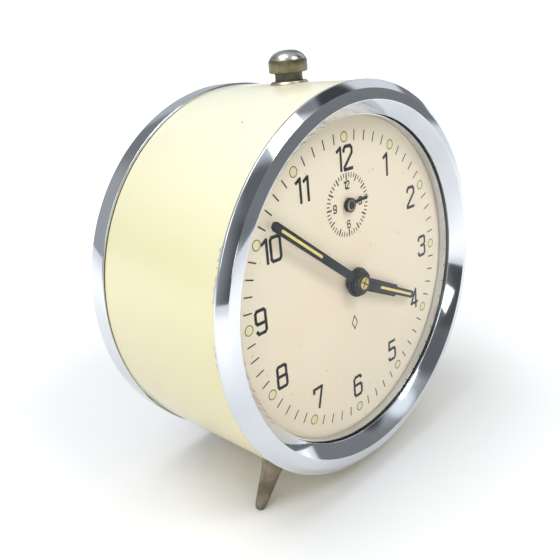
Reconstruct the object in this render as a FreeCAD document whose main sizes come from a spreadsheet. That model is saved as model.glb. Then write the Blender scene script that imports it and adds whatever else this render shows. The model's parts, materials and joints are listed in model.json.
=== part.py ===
import FreeCAD, Part
import math
import os
import re
import Sketcher

# A round wind-up alarm clock: an enamelled drum with a chromed bezel in front and a chromed ring
# behind, leaning back on two tapered feet, with its whole movement inside.
#
# Clock axes: +X to the right of the dial, +Y from the dial to the back, +Z to the twelve, with
# the dial's axis at X = Z = 0 and Y = 0 at the bezel's front edge.  stand() turns those axes back
# by the lean and sets the clock on Z = 0.

Vec = FreeCAD.Vector
BACK = Vec(0, 1, 0)
NO_TURN = FreeCAD.Rotation()

doc = FreeCAD.newDocument("alarm_clock")
sheet = doc.addObject("Spreadsheet::Sheet", "Sizes")

# ---------------------------------------------------------------- driving dimensions, in mm

SIZES = {
    # stance
    "lean_deg": 5.3,
    # case
    "bezel_front_rad": 50.0,
    "bezel_rad": 52.2,
    "bezel_face_in_rad": 47.25,
    "bezel_nose": 0.65,
    "bezel_bevel": 1.8,
    "bezel_land": 0.6,
    "window_rad": 44.0,
    "window_lip": 3.0,
    "drum_rad": 52.0,
    "drum_wall": 0.8,
    "drum_back": 45.2,
    "ring_rad": 52.5,
    "ring_in_rad": 50.5,
    "case_back": 51.35,
    "cover_rad": 50.4,
    "cover_front": 47.6,
    "cover_thick": 0.8,
    "fit_gap": 0.05,
    # glass, dial
    "glass_rad": 46.0,
    "glass_thick": 1.0,
    "glass_crown": 2.6,
    "spacer_front": 4.25,
    "dial_front": 6.6,
    "dial_thick": 0.4,
    "dial_rad": 49.9,
    "subdial_up": 21.0,
    # button and feet
    "button_back": 23.5,
    "button_travel": 2.0,
    "cap_rad": 5.05,
    "foot_back": 14.25,
    "foot_deg": 32.3,
    "foot_root_wide": 6.4,
    "foot_root_deep": 5.4,
    "foot_tip_wide": 2.7,
    "foot_tip_deep": 2.3,
    # movement frame
    "plate_rad": 43.0,
    "front_plate_at": 12.0,
    "rear_plate_at": 30.0,
    "plate_thick": 1.2,
    "pillar_rad": 2.0,
    "pillar_circle": 39.5,
    # going train
    "winding_reach": 21.0,
    "winding_deg": -30.0,
    "great_module": 0.5,
    "fine_module": 0.35,
    "escape_module": 0.3,
    "spring_rad": 13.4,
    "arbor_rad": 0.7,
    "winding_arbor_rad": 2.4,
    # alarm
    "alarm_module": 0.5,
    "bell_rad": 16.0,
    "bell_down": 27.0,
}


def fill_sheet():
    for row, (alias, value) in enumerate(SIZES.items(), start=1):
        sheet.set(f"A{row}", alias)
        sheet.set(f"B{row}", str(value))
        sheet.setAlias(f"B{row}", alias)
    doc.recompute()


fill_sheet()


def size(alias):
    """A driving dimension, read from the sheet."""
    return float(sheet.get(alias))


NAME = re.compile(r"[a-z]\w*")


def cell(text):
    """An expression over the sheet's aliases, spelled for setExpression."""
    return NAME.sub(lambda word: f"{sheet.Name}.{word.group()}", text)


def number(text):
    """The value of a sum of signed numbers, aliases and products of them."""
    plain = NAME.sub(lambda word: str(size(word.group())), text).replace("-", "+-")
    total = 0.0
    for term in filter(None, plain.split("+")):
        total += math.prod(float(factor) for factor in term.split("*"))
    return total


SUBPARTS = {}


def place(node, obj, x=0.0, z=0.0, y=0.0, turn=NO_TURN):
    """Names a finished sub-part and puts it in the clock's own axes."""
    obj.Label = node
    obj.Placement = FreeCAD.Placement(Vec(x, y, z), turn)
    SUBPARTS[node] = obj
    return obj


# ---------------------------------------------------------------- sketched features

def plane_of(body, role):
    return next(p for p in body.Origin.OriginFeatures if p.Role == role)


def sketch_on(body, role, name):
    sketch = body.newObject("Sketcher::SketchObject", name)
    sketch.AttachmentSupport = [(plane_of(body, role), "")]
    sketch.MapMode = "FlatFace"
    return sketch


def bind_point(sketch, edge, end, across, along):
    """Ties one end of an edge to two expressions, measured from the sketch's origin."""
    for kind, text in (("DistanceX", across), ("DistanceY", along)):
        index = sketch.addConstraint(Sketcher.Constraint(kind, -1, 1, edge, end, number(text)))
        sketch.setExpression(f"Constraints[{index}]", cell(text))


def closed_outline(sketch, points):
    """A polygon whose corners are pairs of expressions."""
    corners = [Vec(number(across), number(along), 0) for across, along in points]
    first = sketch.GeometryCount
    count = len(corners)
    for i in range(count):
        sketch.addGeometry(Part.LineSegment(corners[i], corners[(i + 1) % count]), False)
    for i in range(count):
        sketch.addConstraint(Sketcher.Constraint("Coincident", first + i, 2, first + (i + 1) % count, 1))
        bind_point(sketch, first + i, 1, *points[i])


def circle_in(sketch, across, along, radius):
    """A circle whose centre and radius are expressions."""
    centre = Vec(number(across), number(along), 0)
    index = sketch.addGeometry(Part.Circle(centre, Vec(0, 0, 1), number(radius)), False)
    rad = sketch.addConstraint(Sketcher.Constraint("Radius", index, number(radius)))
    sketch.setExpression(f"Constraints[{rad}]", cell(radius))
    bind_point(sketch, index, 3, across, along)


def turned(node, *outlines, x=0.0, z=0.0):
    """A piece turned about an axis along Y.  Outlines list (radius, depth) expressions."""
    body = doc.addObject("PartDesign::Body", node)
    sketch = sketch_on(body, "XY_Plane", node + "_section")
    for outline in outlines:
        closed_outline(sketch, outline)
    turning = body.newObject("PartDesign::Revolution", node + "_turned")
    turning.Profile = sketch
    turning.ReferenceAxis = (sketch, ["V_Axis"])
    turning.Angle = 360
    body.Tip = turning
    return place(node, body, x, z)


def plate(node, outline, at, thick, holes, x=0.0, z=0.0):
    """A flat piece across Y: outline(sketch) draws its edge, holes are (x, z, radius)."""
    body = doc.addObject("PartDesign::Body", node)
    sketch = sketch_on(body, "XZ_Plane", node + "_outline")
    outline(sketch)
    for across, up, radius in holes:
        circle_in(sketch, across, up, radius)
    pad = body.newObject("PartDesign::Pad", node + "_pad")
    pad.Profile = sketch
    pad.setExpression("Length", cell(thick))
    pad.Length = number(thick)
    pad.Reversed = True
    body.Tip = pad
    doc.recompute()
    if body.Shape.BoundBox.YMin < -0.001:
        pad.Reversed = False
    return place(node, body, x, z, number(at))


# ---------------------------------------------------------------- shapes made outright

def feature(node, shape, x=0.0, z=0.0, y=0.0):
    obj = doc.addObject("Part::Feature", node)
    obj.Shape = shape
    return place(node, obj, x, z, y)


def rod(radius, start, end, x=0.0, z=0.0):
    return Part.makeCylinder(radius, end - start, Vec(x, start, z), BACK)


def block(x0, x1, y0, y1, z0, z1):
    return Part.makeBox(x1 - x0, y1 - y0, z1 - z0, Vec(x0, y0, z0))


def slab(points, start, end):
    """A prism along Y over (x, z) corners."""
    ring = [Vec(px, start, pz) for px, pz in points]
    face = Part.Face(Part.makePolygon(ring + ring[:1]))
    return face.extrude(Vec(0, end - start, 0))


def joined(shapes):
    """One solid from overlapping shapes."""
    whole = shapes[0].fuse(list(shapes[1:])) if len(shapes) > 1 else shapes[0]
    return whole.removeSplitter()


def polar(reach, degrees, centre=(0.0, 0.0)):
    angle = math.radians(degrees)
    return centre[0] + reach * math.cos(angle), centre[1] + reach * math.sin(angle)


def bar(start, end, wide, front, back):
    """A straight strip between two (x, z) points with round ends."""
    run = math.dist(start, end)
    nx = -(end[1] - start[1]) / run * wide / 2
    nz = (end[0] - start[0]) / run * wide / 2
    sides = [(start[0] + nx, start[1] + nz), (start[0] - nx, start[1] - nz),
             (end[0] - nx, end[1] - nz), (end[0] + nx, end[1] + nz)]
    ends = [rod(wide / 2, front, back, *point) for point in (start, end)]
    return joined([slab(sides, front, back)] + ends)


# ================================================================ case

def case_drum():
    """The enamelled tube, pierced for the button and the two feet."""
    wall_in = "drum_rad-drum_wall"
    turned("case_drum", [("drum_rad", "bezel_bevel+bezel_land"), ("drum_rad", "drum_back"),
                         (wall_in, "drum_back"), (wall_in, "bezel_bevel+bezel_land")])
    pierce("case_drum", button_post(4.35), "button_hole")
    for side in (-1, 1):
        pierce("case_drum", foot_peg(side, 1.55), f"foot_hole_{side + 2}")


def pierce(node, tool, name):
    """Cuts a made shape out of a sub-part that is already in place."""
    held = doc.addObject("Part::Feature", f"{node}_{name}")
    held.Shape = tool
    cut = doc.addObject("Part::Cut", f"{node}_less_{name}")
    cut.Base = SUBPARTS[node]
    cut.Tool = held
    cut.Base.Label = f"{node}_before_{name}"
    place(node, cut)


def button_post(radius, low=48.0, high=54.0):
    return Part.makeCylinder(radius, high - low, Vec(0, size("button_back"), low), Vec(0, 0, 1))


def foot_way(side):
    """The foot's centre line: its foot on the clock's axis and its outward direction."""
    angle = math.radians(size("foot_deg"))
    return Vec(0, size("foot_back"), 0), Vec(side * math.sin(angle), 0, -math.cos(angle))


def foot_peg(side, radius, low=47.0, high=54.0):
    middle, out = foot_way(side)
    return Part.makeCylinder(radius, high - low, middle + out * low, out)


def front_bezel():
    """Flat chromed face, outer bevel, inner cone to the window, and a skirt inside the drum."""
    skirt = "drum_rad-drum_wall-fit_gap"
    turned("front_bezel", [
        ("bezel_face_in_rad", "0-bezel_nose"), ("bezel_front_rad", "0"),
        ("bezel_rad", "bezel_bevel"), ("bezel_rad", "bezel_bevel+bezel_land-fit_gap"),
        (skirt, "bezel_bevel+bezel_land-fit_gap"), (skirt, "dial_front+2.2"),
        (skirt + "-0.9", "dial_front+2.2"), (skirt + "-0.9", "window_lip+1.2"),
        ("glass_rad+0.1", "window_lip+1.2"), ("glass_rad+0.1", "window_lip+0.1"),
        ("window_rad", "window_lip+0.1"), ("window_rad", "window_lip-0.2")])


def crystal():
    """A shallow dome of even thickness with its edge under the bezel's lip."""
    rad = size("glass_rad")
    crown = size("glass_crown")
    thick = size("glass_thick")
    edge = size("window_lip") + 0.15
    curve = (rad * rad + crown * crown) / (2 * crown)
    outer = Part.makeSphere(curve, Vec(0, edge - crown + curve, 0))
    inner = Part.makeSphere(curve - thick, Vec(0, edge - crown + curve, 0))
    dome = outer.cut(inner).common(rod(rad - 2.2, edge - crown - 1, edge + thick))
    rim = rod(rad, edge, edge + thick - 0.1).cut(rod(rad - 2.4, edge - 1, edge + thick + 1))
    feature("crystal", joined([dome, rim]))


def dial_spacer_ring():
    turned("dial_spacer_ring", [
        ("window_rad-0.4", "spacer_front"), ("glass_rad+1", "spacer_front"),
        ("glass_rad+1", "dial_front-fit_gap"), ("window_rad-0.4", "dial_front-fit_gap")])


DIAL_FOOT_REACH = 37.0
DIAL_FOOT_TURNS = (75, 195, 315)


def dial():
    """Printed disc with holes for the two hand arbors and three feet pinned into the plate."""
    disc = rod(size("dial_rad"), 0, size("dial_thick"))
    disc = disc.cut(rod(2.75, -1, 2)).cut(rod(1.3, -1, 2, 0, size("subdial_up")))
    reach = size("front_plate_at") - size("dial_front") - size("fit_gap")
    feet = [rod(0.8, 0.2, reach, *polar(DIAL_FOOT_REACH, turn)) for turn in DIAL_FOOT_TURNS]
    feature("dial", joined([disc] + feet), y=size("dial_front"))


def rear_ring():
    turned("rear_ring", [
        ("drum_rad-drum_wall-fit_gap", "drum_back-3"), ("drum_rad-drum_wall-fit_gap", "drum_back+0.3"),
        ("ring_rad", "drum_back+0.3"), ("ring_rad", "case_back-0.4"), ("ring_rad-0.4", "case_back"),
        ("ring_in_rad", "case_back"), ("ring_in_rad", "cover_front-fit_gap"),
        ("ring_in_rad-2", "cover_front-fit_gap"), ("ring_in_rad-2", "drum_back-3")])


def winding_spot(side):
    """Where a winding arbor stands: the going side on the right, the alarm side on the left."""
    across, up = polar(size("winding_reach"), size("winding_deg"))
    return side * across, up


def cover_post_spots():
    return [polar(40.5, turn) for turn in (90, 210, 330)]


def rear_cover():
    """Back plate with clearances for the keys, knobs, regulator and sound holes."""
    body = doc.addObject("PartDesign::Body", "rear_cover")
    sketch = sketch_on(body, "XZ_Plane", "rear_cover_outline")
    circle_in(sketch, "0", "0", "cover_rad")
    holes = [(0, 0, 3.0), (0, size("subdial_up"), 2.4)]
    holes += [(*winding_spot(side), 3.6) for side in (1, -1)]
    holes += [(*spot, 1.15) for spot in cover_post_spots()]
    for turn in range(0, 360, 30):
        holes.append((*polar(5.6, turn, (0, -size("bell_down"))), 0.9))
    for across, up, radius in holes:
        circle_in(sketch, f"{across:.4f}", f"{up:.4f}", f"{radius}")
    pad = body.newObject("PartDesign::Pad", "rear_cover_pad")
    pad.Profile = sketch
    pad.Length = size("cover_thick")
    pad.setExpression("Length", cell("cover_thick"))
    pad.Reversed = True
    body.Tip = pad
    doc.recompute()
    place("rear_cover", body, y=size("cover_front"))
    slot_in = slab([polar(9.8, turn, BALANCE) for turn in range(-30, 32, 4)]
                   + [polar(7.8, turn, BALANCE) for turn in range(30, -32, -4)],
                   size("cover_front") - 1, size("cover_front") + 3)
    pierce("rear_cover", slot_in, "regulator_slot")


def rounded_patch(middle, side_way, deep_way, wide, deep):
    """A closed superellipse-like outline across a foot."""
    points = []
    for step in range(16):
        angle = 2 * math.pi * step / 16
        across = math.copysign(abs(math.cos(angle)) ** 0.7, math.cos(angle)) * wide / 2
        along = math.copysign(abs(math.sin(angle)) ** 0.7, math.sin(angle)) * deep / 2
        points.append(middle + side_way * across + deep_way * along)
    spline = Part.BSplineCurve()
    spline.interpolate(points, PeriodicFlag=True)
    return Part.Wire([spline.toShape()])


FOOT_TIP_REACH = 67.5
FOOT_SHOULDER = 3.2


def foot(node, side):
    """A tapered, slightly flattened peg with a shoulder at the drum and a threaded stub inside."""
    middle, out = foot_way(side)
    across = Vec(0, 1, 0).cross(out)
    root = size("drum_rad") - 0.25
    sections = [(root, 1.0, 1.0), (root + FOOT_SHOULDER, 0.97, 0.97),
                (root + FOOT_SHOULDER + 0.4, 0.86, 0.88), (FOOT_TIP_REACH, 0.0, 0.0)]
    wires = []
    for reach, wide_part, deep_part in sections:
        wide = size("foot_tip_wide") + (size("foot_root_wide") - size("foot_tip_wide")) * wide_part
        deep = size("foot_tip_deep") + (size("foot_root_deep") - size("foot_tip_deep")) * deep_part
        wires.append(rounded_patch(middle + out * reach, across, Vec(0, 1, 0), wide, deep))
    shank = Part.makeLoft(wires[:2], True, True).fuse(Part.makeLoft(wires[1:3], True, True))
    shank = shank.fuse(Part.makeLoft(wires[2:], True, True)).removeSplitter()
    shank = shank.cut(drum_core())
    stub = Part.makeCylinder(1.5, 6.5, middle + out * (root - 5.5), out)
    feature(node, joined([shank, stub]).cut(below_floor()))


def drum_core():
    return rod(size("drum_rad") + 0.02, -5, 60)


# ---------------------------------------------------------------- stance

def lean():
    """The turn that tips the clock back about X."""
    return FreeCAD.Rotation(Vec(1, 0, 0), -size("lean_deg"))


def floor_drop():
    """How far below the dial's axis the floor lies: the rear ring's lower back edge rests on it."""
    angle = math.radians(size("lean_deg"))
    return (size("case_back") - 0.4) * math.sin(angle) + size("ring_rad") * math.cos(angle)


def below_floor():
    """Everything under the floor, in the clock's own axes."""
    ground = Part.makeBox(200, 200, 60, Vec(-100, -100, -60 - floor_drop()))
    ground.Placement = FreeCAD.Placement(Vec(0, 0, 0), lean().inverted()).multiply(ground.Placement)
    return ground


# ================================================================ stop button

def button_collar():
    """Flared bush pressed into the drum, that the button's waist slides in."""
    top = size("drum_rad")
    flare = Part.makeCone(5.0, 4.6, 0.55, Vec(0, 0, top), Vec(0, 0, 1))
    lip = Part.makeCylinder(5.0, 0.7, Vec(0, 0, top - 0.7), Vec(0, 0, 1))
    neck = Part.makeCylinder(4.3, 3.6, Vec(0, 0, top - 3.5), Vec(0, 0, 1))
    bush = joined([flare, lip, neck]).cut(Part.makeCylinder(3.78, 8, Vec(0, 0, top - 5), Vec(0, 0, 1)))
    bush.translate(Vec(0, size("button_back"), 0))
    feature("button_collar", bush.cut(rod(top, 10, 40).cut(button_post(4.34))))


def stop_button():
    """Domed cap with a straight band over a waist, and the stem that works the stop lever."""
    top = size("drum_rad")
    waist = top - 0.8
    band = top + size("button_travel") + 0.65
    cap = size("cap_rad")
    crown = band + 5.6
    stem = 2.0
    stem_end = 43.6
    stop = (47.6, 48.2)
    dome = Part.Arc(Vec(cap - 0.15, 0, band + 3.3), Vec(3.5, 0, band + 5.0), Vec(0.6, 0, crown))
    outline = [(0.6, crown), (0, crown), (0, stem_end), (stem, stem_end), (stem, stop[0]),
               (4.2, stop[0]), (4.2, stop[1]), (stem, stop[1]), (stem, waist), (3.7, waist), (3.7, band),
               (cap - 0.3, band), (cap, band + 0.35), (cap, band + 2.9), (cap - 0.15, band + 3.3)]
    corners = [Vec(across, 0, up) for across, up in outline]
    wire = Part.Wire([dome.toShape()] + list(Part.makePolygon(corners).Edges))
    feature("stop_button", Part.Face(wire).revolve(Vec(0, 0, 0), Vec(0, 0, 1), 360), y=size("button_back"))


STOP_PIVOT = (-15.0, 36.5)
STOP_UNDER_STEM = (0.6, 42.2)
STOP_FINGER = (-25.5, 22.0)


def stop_lever():
    """Bent lever that the stem pushes down, whose finger then meets the hammer's tail."""
    start = size("button_back") - 0.6
    end = size("button_back") + 0.6
    boss = rod(2.0, start - 1.0, end + 1.0, *STOP_PIVOT)
    arm = bar(STOP_PIVOT, STOP_UNDER_STEM, 2.0, start, end)
    finger = bar(STOP_PIVOT, STOP_FINGER, 2.0, start, end)
    axle_hole = rod(1.05, start - 2, end + 2, *STOP_PIVOT)
    feature("stop_lever", joined([boss, arm, finger]).cut(axle_hole))


# ================================================================ movement frame

THIRD = polar(12.6, 40.0)
FOURTH = polar(11.9, 30.0, THIRD)
ESCAPE = polar(10.8, 110.0, FOURTH)
PALLET = polar(7.2, 150.0, ESCAPE)
BALANCE = polar(15.5, 150.0, ESCAPE)
MINUTE = (5.8095, 10.5)
ALARM_ESCAPE_REACH = 17.0


def alarm_escape_spot():
    return polar(ALARM_ESCAPE_REACH, 110.0, winding_spot(-1))


def hammer_spot():
    return polar(8.4, 150.0, alarm_escape_spot())


PILLAR_TURNS = (50, 130, 248, 292)
LUG_TURNS = (15, 165, 270)


def pillar_spots():
    return [polar(size("pillar_circle"), turn) for turn in PILLAR_TURNS]


def lug_spots():
    return [polar(41.2, turn) for turn in LUG_TURNS]


def train_holes():
    """Pivot holes that both plates share."""
    small = size("arbor_rad") + 0.04
    spots = [(*spot, small) for spot in (THIRD, FOURTH, ESCAPE, PALLET)]
    spots += [(*alarm_escape_spot(), small), (*hammer_spot(), 1.04)]
    spots += [(*winding_spot(side), size("winding_arbor_rad") + 0.05) for side in (1, -1)]
    return spots


def round_edge(radius):
    return lambda sketch: circle_in(sketch, "0", "0", radius)


def as_text(holes):
    return [tuple(f"{value:.4f}" for value in hole) for hole in holes]


def front_plate():
    holes = train_holes() + [(0, 0, 1.3), (0, size("subdial_up"), 1.05), (*BALANCE, 2.0)]
    holes += [(*spot, 1.05) for spot in lug_spots()] + [(*spot, 1.0) for spot in pillar_spots()]
    holes += [(*polar(DIAL_FOOT_REACH, turn), 0.85) for turn in DIAL_FOOT_TURNS] + [(*MINUTE, 0.8)]
    holes += [(*STOP_PIVOT, 1.8)]
    plate("front_plate", round_edge("plate_rad"), "front_plate_at", "plate_thick", as_text(holes))


def rear_plate():
    holes = train_holes() + [(0, 0, 1.3), (0, size("subdial_up"), 1.05), (*BALANCE, 2.0)]
    holes += [(*spot, 1.0) for spot in pillar_spots()]
    plate("rear_plate", round_edge("plate_rad"), "rear_plate_at", "plate_thick", as_text(holes))


def hexagon_nut(spot, start, end, reach, bore):
    corners = [polar(reach, 60 * i, spot) for i in range(6)]
    return slab(corners, start, end).cut(rod(bore, start - 1, end + 1, *spot))


def pillars():
    """Four plate pillars, and three posts behind them that the back cover is screwed to."""
    start = size("front_plate_at")
    inner = start + size("plate_thick")
    outer = size("rear_plate_at")
    behind = outer + size("plate_thick")
    posts = []
    for spot in pillar_spots():
        shank = rod(1.0, start - 1.6, behind + 2.2, *spot)
        posts.append(joined([shank, rod(size("pillar_rad"), inner, outer, *spot)]))
    end = size("cover_front")
    posts += [rod(2.4, behind, end, *spot).cut(rod(1.02, end - 5, end + 1, *spot))
              for spot in cover_post_spots()]
    feature("pillars", Part.makeCompound(posts))


def foot_nut(side):
    """Hexagon nut on a foot's stub, against the drum's inner wall."""
    middle, out = foot_way(side)
    start = size("drum_rad") - size("drum_wall") - 0.3
    across = BACK.cross(out)
    turns = [math.pi * i / 3 for i in range(7)]
    corners = [middle + out * (start - 1.6) + (BACK * math.cos(turn) + across * math.sin(turn)) * 2.9
               for turn in turns]
    nut = Part.Face(Part.makePolygon(corners)).extrude(out * 1.6)
    return nut.cut(foot_peg(side, 1.53, 40, 54))


def nuts():
    """All the hexagon nuts: on the pillars, the feet and the bell's stud."""
    front = size("front_plate_at")
    back = size("rear_plate_at") + size("plate_thick")
    group = [hexagon_nut(spot, back, back + 1.8, 2.6, 1.02) for spot in pillar_spots()]
    group += [hexagon_nut(spot, front - 1.4, front, 2.4, 1.02) for spot in pillar_spots()]
    group += [foot_nut(side) for side in (-1, 1)]
    group.append(hexagon_nut((0.0, -size("bell_down")), 44.2, 45.8, 2.8, 1.27))
    feature("nuts", Part.makeCompound(group))


def slotted_screw(spot, shank, head_rad, head, tip):
    """A cheese-head screw: head and tip are depths, the slot is cut in the head's outer face."""
    low, high = min(head), max(head)
    outer = high if tip < low else low
    inward = -1 if tip < low else 1
    slot = sorted((outer - inward, outer + inward * 0.5))
    across = block(spot[0] - 3, spot[0] + 3, *slot, spot[1] - 0.22, spot[1] + 0.22)
    under = low if tip < low else high
    ends = sorted((tip, under - inward * 0.2))
    return joined([rod(head_rad, low, high, *spot).cut(across), rod(shank, *ends, *spot)])


def screws():
    """Three screws through the back cover and three that hold the movement to the lugs."""
    cover = size("cover_front") + size("cover_thick")
    front = size("front_plate_at")
    outside = (cover, cover + 1.1)
    inside = (front - 1.0, front)
    group = [slotted_screw(spot, 1.0, 2.1, outside, cover - 4.6) for spot in cover_post_spots()]
    group += [slotted_screw(spot, 1.0, 1.9, inside, front + 4.0) for spot in lug_spots()]
    feature("screws", Part.makeCompound(group))


def plate_studs():
    """Studs riveted to the plates: stop lever, minute wheel, hairspring end and bell."""
    front = size("front_plate_at") + size("plate_thick")
    back = size("rear_plate_at")
    lever = joined([rod(1.0, front - 0.4, size("button_back") + 2.4, *STOP_PIVOT),
                    rod(1.8, front - 0.4, size("button_back") - 2.0, *STOP_PIVOT)])
    minute = rod(0.8, 7.5, 13.0, *MINUTE)
    spring_end = rod(0.6, 27.2, back, *polar(6.3, 180.0, BALANCE))
    drop = (0.0, -size("bell_down"))
    bell_end = joined([rod(2.2, back + size("plate_thick"), 43.2, *drop), rod(1.25, 43.0, 46.2, *drop)])
    feature("plate_studs", Part.makeCompound([lever, minute, spring_end, bell_end]))


def case_lugs():
    """Three brackets on the drum's wall that the movement is screwed to."""
    at = size("front_plate_at") + size("plate_thick")
    wall = size("drum_rad") - size("drum_wall")
    lugs = []
    for turn, spot in zip(LUG_TURNS, lug_spots()):
        tongue = bar(spot, polar(wall + 2, turn), 7.0, at, at + 1.0)
        foot_part = bar(polar(wall - 0.5, turn), polar(wall + 2, turn), 7.0, at, at + 7.0)
        lug = joined([tongue, foot_part]).common(rod(wall - 0.005, at - 1, at + 8))
        lugs.append(lug.cut(rod(1.02, at - 1, at + 2, *spot)))
    feature("case_lugs", Part.makeCompound(lugs))


# ================================================================ gear making

ADDENDUM = 0.7
DEDENDUM = 1.2
WHEEL_FILL = 0.7
PINION_FILL = 0.6

GREAT_TEETH = 72
CENTRE_TEETH, CENTRE_LEAVES = 64, 12
THIRD_TEETH, THIRD_LEAVES = 60, 8
FOURTH_TEETH, FOURTH_LEAVES = 64, 8
ESCAPE_POINTS, ESCAPE_LEAVES = 15, 8
ALARM_GREAT_TEETH = 60
ALARM_ESCAPE_POINTS, ALARM_ESCAPE_LEAVES = 12, 8
CANNON_LEAVES = 14
MINUTE_TEETH, MINUTE_LEAVES = 42, 12
HOUR_TEETH = 48


def toothed(teeth, module, phase, front, back, fill, bore=0.0):
    """A spur gear about Y: straight-flanked teeth, slack enough to run at every angle."""
    pitch = module * teeth / 2
    half = math.pi / teeth / 2 * fill
    tip, foot_rad = pitch + ADDENDUM * module, pitch - DEDENDUM * module
    corners = []
    for i in range(teeth):
        middle = phase + 2 * math.pi * i / teeth
        flank = [(foot_rad, 1.55), (pitch, 1.0), (tip, 0.45)]
        corners += [(rad, middle - half * wide) for rad, wide in flank]
        corners += [(rad, middle + half * wide) for rad, wide in reversed(flank)]
    outline = [(rad * math.cos(angle), rad * math.sin(angle)) for rad, angle in corners]
    gear = slab(outline, front, back)
    return gear.cut(rod(bore, front - 1, back + 1)) if bore else gear


def mated(phase, teeth, way, other_teeth):
    """The phase of a gear that meshes with one of the given phase, lying in direction way."""
    return way + math.pi - ((phase - way) * teeth + math.pi) / other_teeth


def heading(start, end):
    return math.atan2(end[1] - start[1], end[0] - start[0])


def spoked(wheel, hub_rad, rim_rad, arms, front, back, arm_wide=1.6):
    """Opens a wheel's web between its hub and rim, leaving arms."""
    ring = rod(rim_rad, front - 1, back + 1).cut(rod(hub_rad, front - 2, back + 2))
    for i in range(arms):
        end = polar(rim_rad + 2, 360 / arms * i + 45)
        ring = ring.cut(bar((0, 0), end, arm_wide, front - 2, back + 2))
    return wheel.cut(ring)


RIBBON_STEPS = 20


def spiral_ribbon(inner, outer, turns, thick, front, back):
    """A flat spring coiled about Y, as one closed ribbon of short straight lengths."""
    steps = int(turns * RIBBON_STEPS)

    def edge(offset):
        growth = (outer - inner) / steps
        return [polar(inner + growth * i + offset, 360 * turns / steps * i) for i in range(steps + 1)]
    return slab(edge(-thick / 2) + edge(thick / 2)[::-1], front, back)


def cone_tip(radius, start, end):
    """A pivot's pointed end."""
    way = BACK if end > start else BACK * -1
    return Part.makeCone(radius, 0.08, abs(end - start), Vec(0, start, 0), way)


# ================================================================ going train

GREAT_PHASE = 0.0
GREAT_LEVEL = (14.0, 15.2)
CENTRE_LEVEL = (25.6, 26.4)
THIRD_LEVEL = (27.8, 28.6)
FOURTH_LEVEL = (22.5, 23.3)
ESCAPE_LEVEL = (19.0, 19.8)
FORK_LEVEL = (19.95, 20.75)
RATCHET_LEVEL = (15.6, 16.6)
CLICK_LEVEL = (15.5, 16.6)
CLICK_SPRING_LEVEL = (15.2, 16.2)
CLICK_STUD_END = 17.0
TIME_CLICK_REACH = 10.3
ALARM_CLICK_REACH = 9.3
CLICK_TURN = 100
TRAIN_ARBOR = (11.6, 31.6)


def great_wheel():
    spot = winding_spot(1)
    bore = size("winding_arbor_rad") + 0.05
    wheel = toothed(GREAT_TEETH, size("great_module"), GREAT_PHASE, *GREAT_LEVEL, WHEEL_FILL, bore)
    wheel = spoked(wheel, 12.2, 15.4, 4, *GREAT_LEVEL)
    feature("great_wheel", joined([wheel, click_stud(TIME_CLICK_REACH)]), *spot)


def click_stud(reach):
    return rod(0.9, GREAT_LEVEL[1] - 0.2, CLICK_STUD_END, *polar(reach, CLICK_TURN))


def ratchet(node, spot, teeth, tip, front, back, bore):
    """A saw-toothed winding ratchet fixed on its arbor."""
    corners = []
    for i in range(teeth):
        angle = 360 / teeth * i
        corners += [polar(tip, angle), polar(tip - 1.3, angle + 1.0)]
    wheel = slab(corners, front, back).cut(rod(bore, front - 1, back + 1))
    feature(node, wheel, *spot)


def click(node, spot, reach, nose_reach, front, back):
    """A pawl on the great wheel's stud, its nose just clear of the ratchet's teeth."""
    pivot = polar(reach, CLICK_TURN)
    nose = polar(nose_reach, 62)
    body = joined([rod(1.7, front, back, *pivot), bar(pivot, nose, 1.1, front, back)])
    feature(node, body.cut(rod(0.95, front - 1, back + 1, *pivot)), *spot)


def click_spring(node, spot, reach, rim, front, back):
    """A bent strip riveted to the great wheel behind the click."""
    root = polar(rim, 150)
    strip = bar(root, polar(reach + 2.4, 112), 0.5, front, back)
    rivet = rod(0.9, front, back, *root)
    feature(node, joined([strip, rivet]), *spot)


KEY_TURN = {"time": 25.0, "alarm": -35.0}
ARBOR_END = 52.0
SQUARE_END = 57.0
SQUARE_HALF = 1.55
COIL_THICK = 0.35
WING_REACH = 6.6
WING_THICK = 1.4


def turn_in_place(node, spot, degrees):
    """Turns a sub-part about its own arbor."""
    SUBPARTS[node].Placement = FreeCAD.Placement(Vec(spot[0], 0, spot[1]), FreeCAD.Rotation(BACK, degrees))


def winding_arbor(side, spot, spring_front, spring_back):
    """Square-ended arbor that carries the ratchet and the mainspring's inner coil."""
    rad = size("winding_arbor_rad")
    cut_back = size("cover_front")
    shaft = joined([rod(rad, 11.2, ARBOR_END), rod(rad + 0.6, spring_front, spring_back)])
    square = block(-SQUARE_HALF, SQUARE_HALF, ARBOR_END - 0.1, SQUARE_END, -SQUARE_HALF, SQUARE_HALF)
    collar = rod(rad + 0.5, size("rear_plate_at") + size("plate_thick") + 0.2, cut_back - 8)
    node = f"{side}_winding_arbor"
    feature(node, joined([shaft, square, collar]), *spot)
    turn_in_place(node, spot, KEY_TURN[side])


def mainspring(node, spot, outer, front, back, turns):
    inner = size("winding_arbor_rad") + 0.6 + COIL_THICK
    feature(node, spiral_ribbon(inner, outer, turns, COIL_THICK, front, back), *spot)


def key_socket():
    """The room for the arbor inside a key: a round mouth and a square end."""
    half = SQUARE_HALF + 0.02
    mouth = rod(size("winding_arbor_rad") + 0.02, ARBOR_END - 3, ARBOR_END)
    return joined([mouth, block(-half, half, ARBOR_END - 0.5, SQUARE_END + 0.1, -half, half)])


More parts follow.
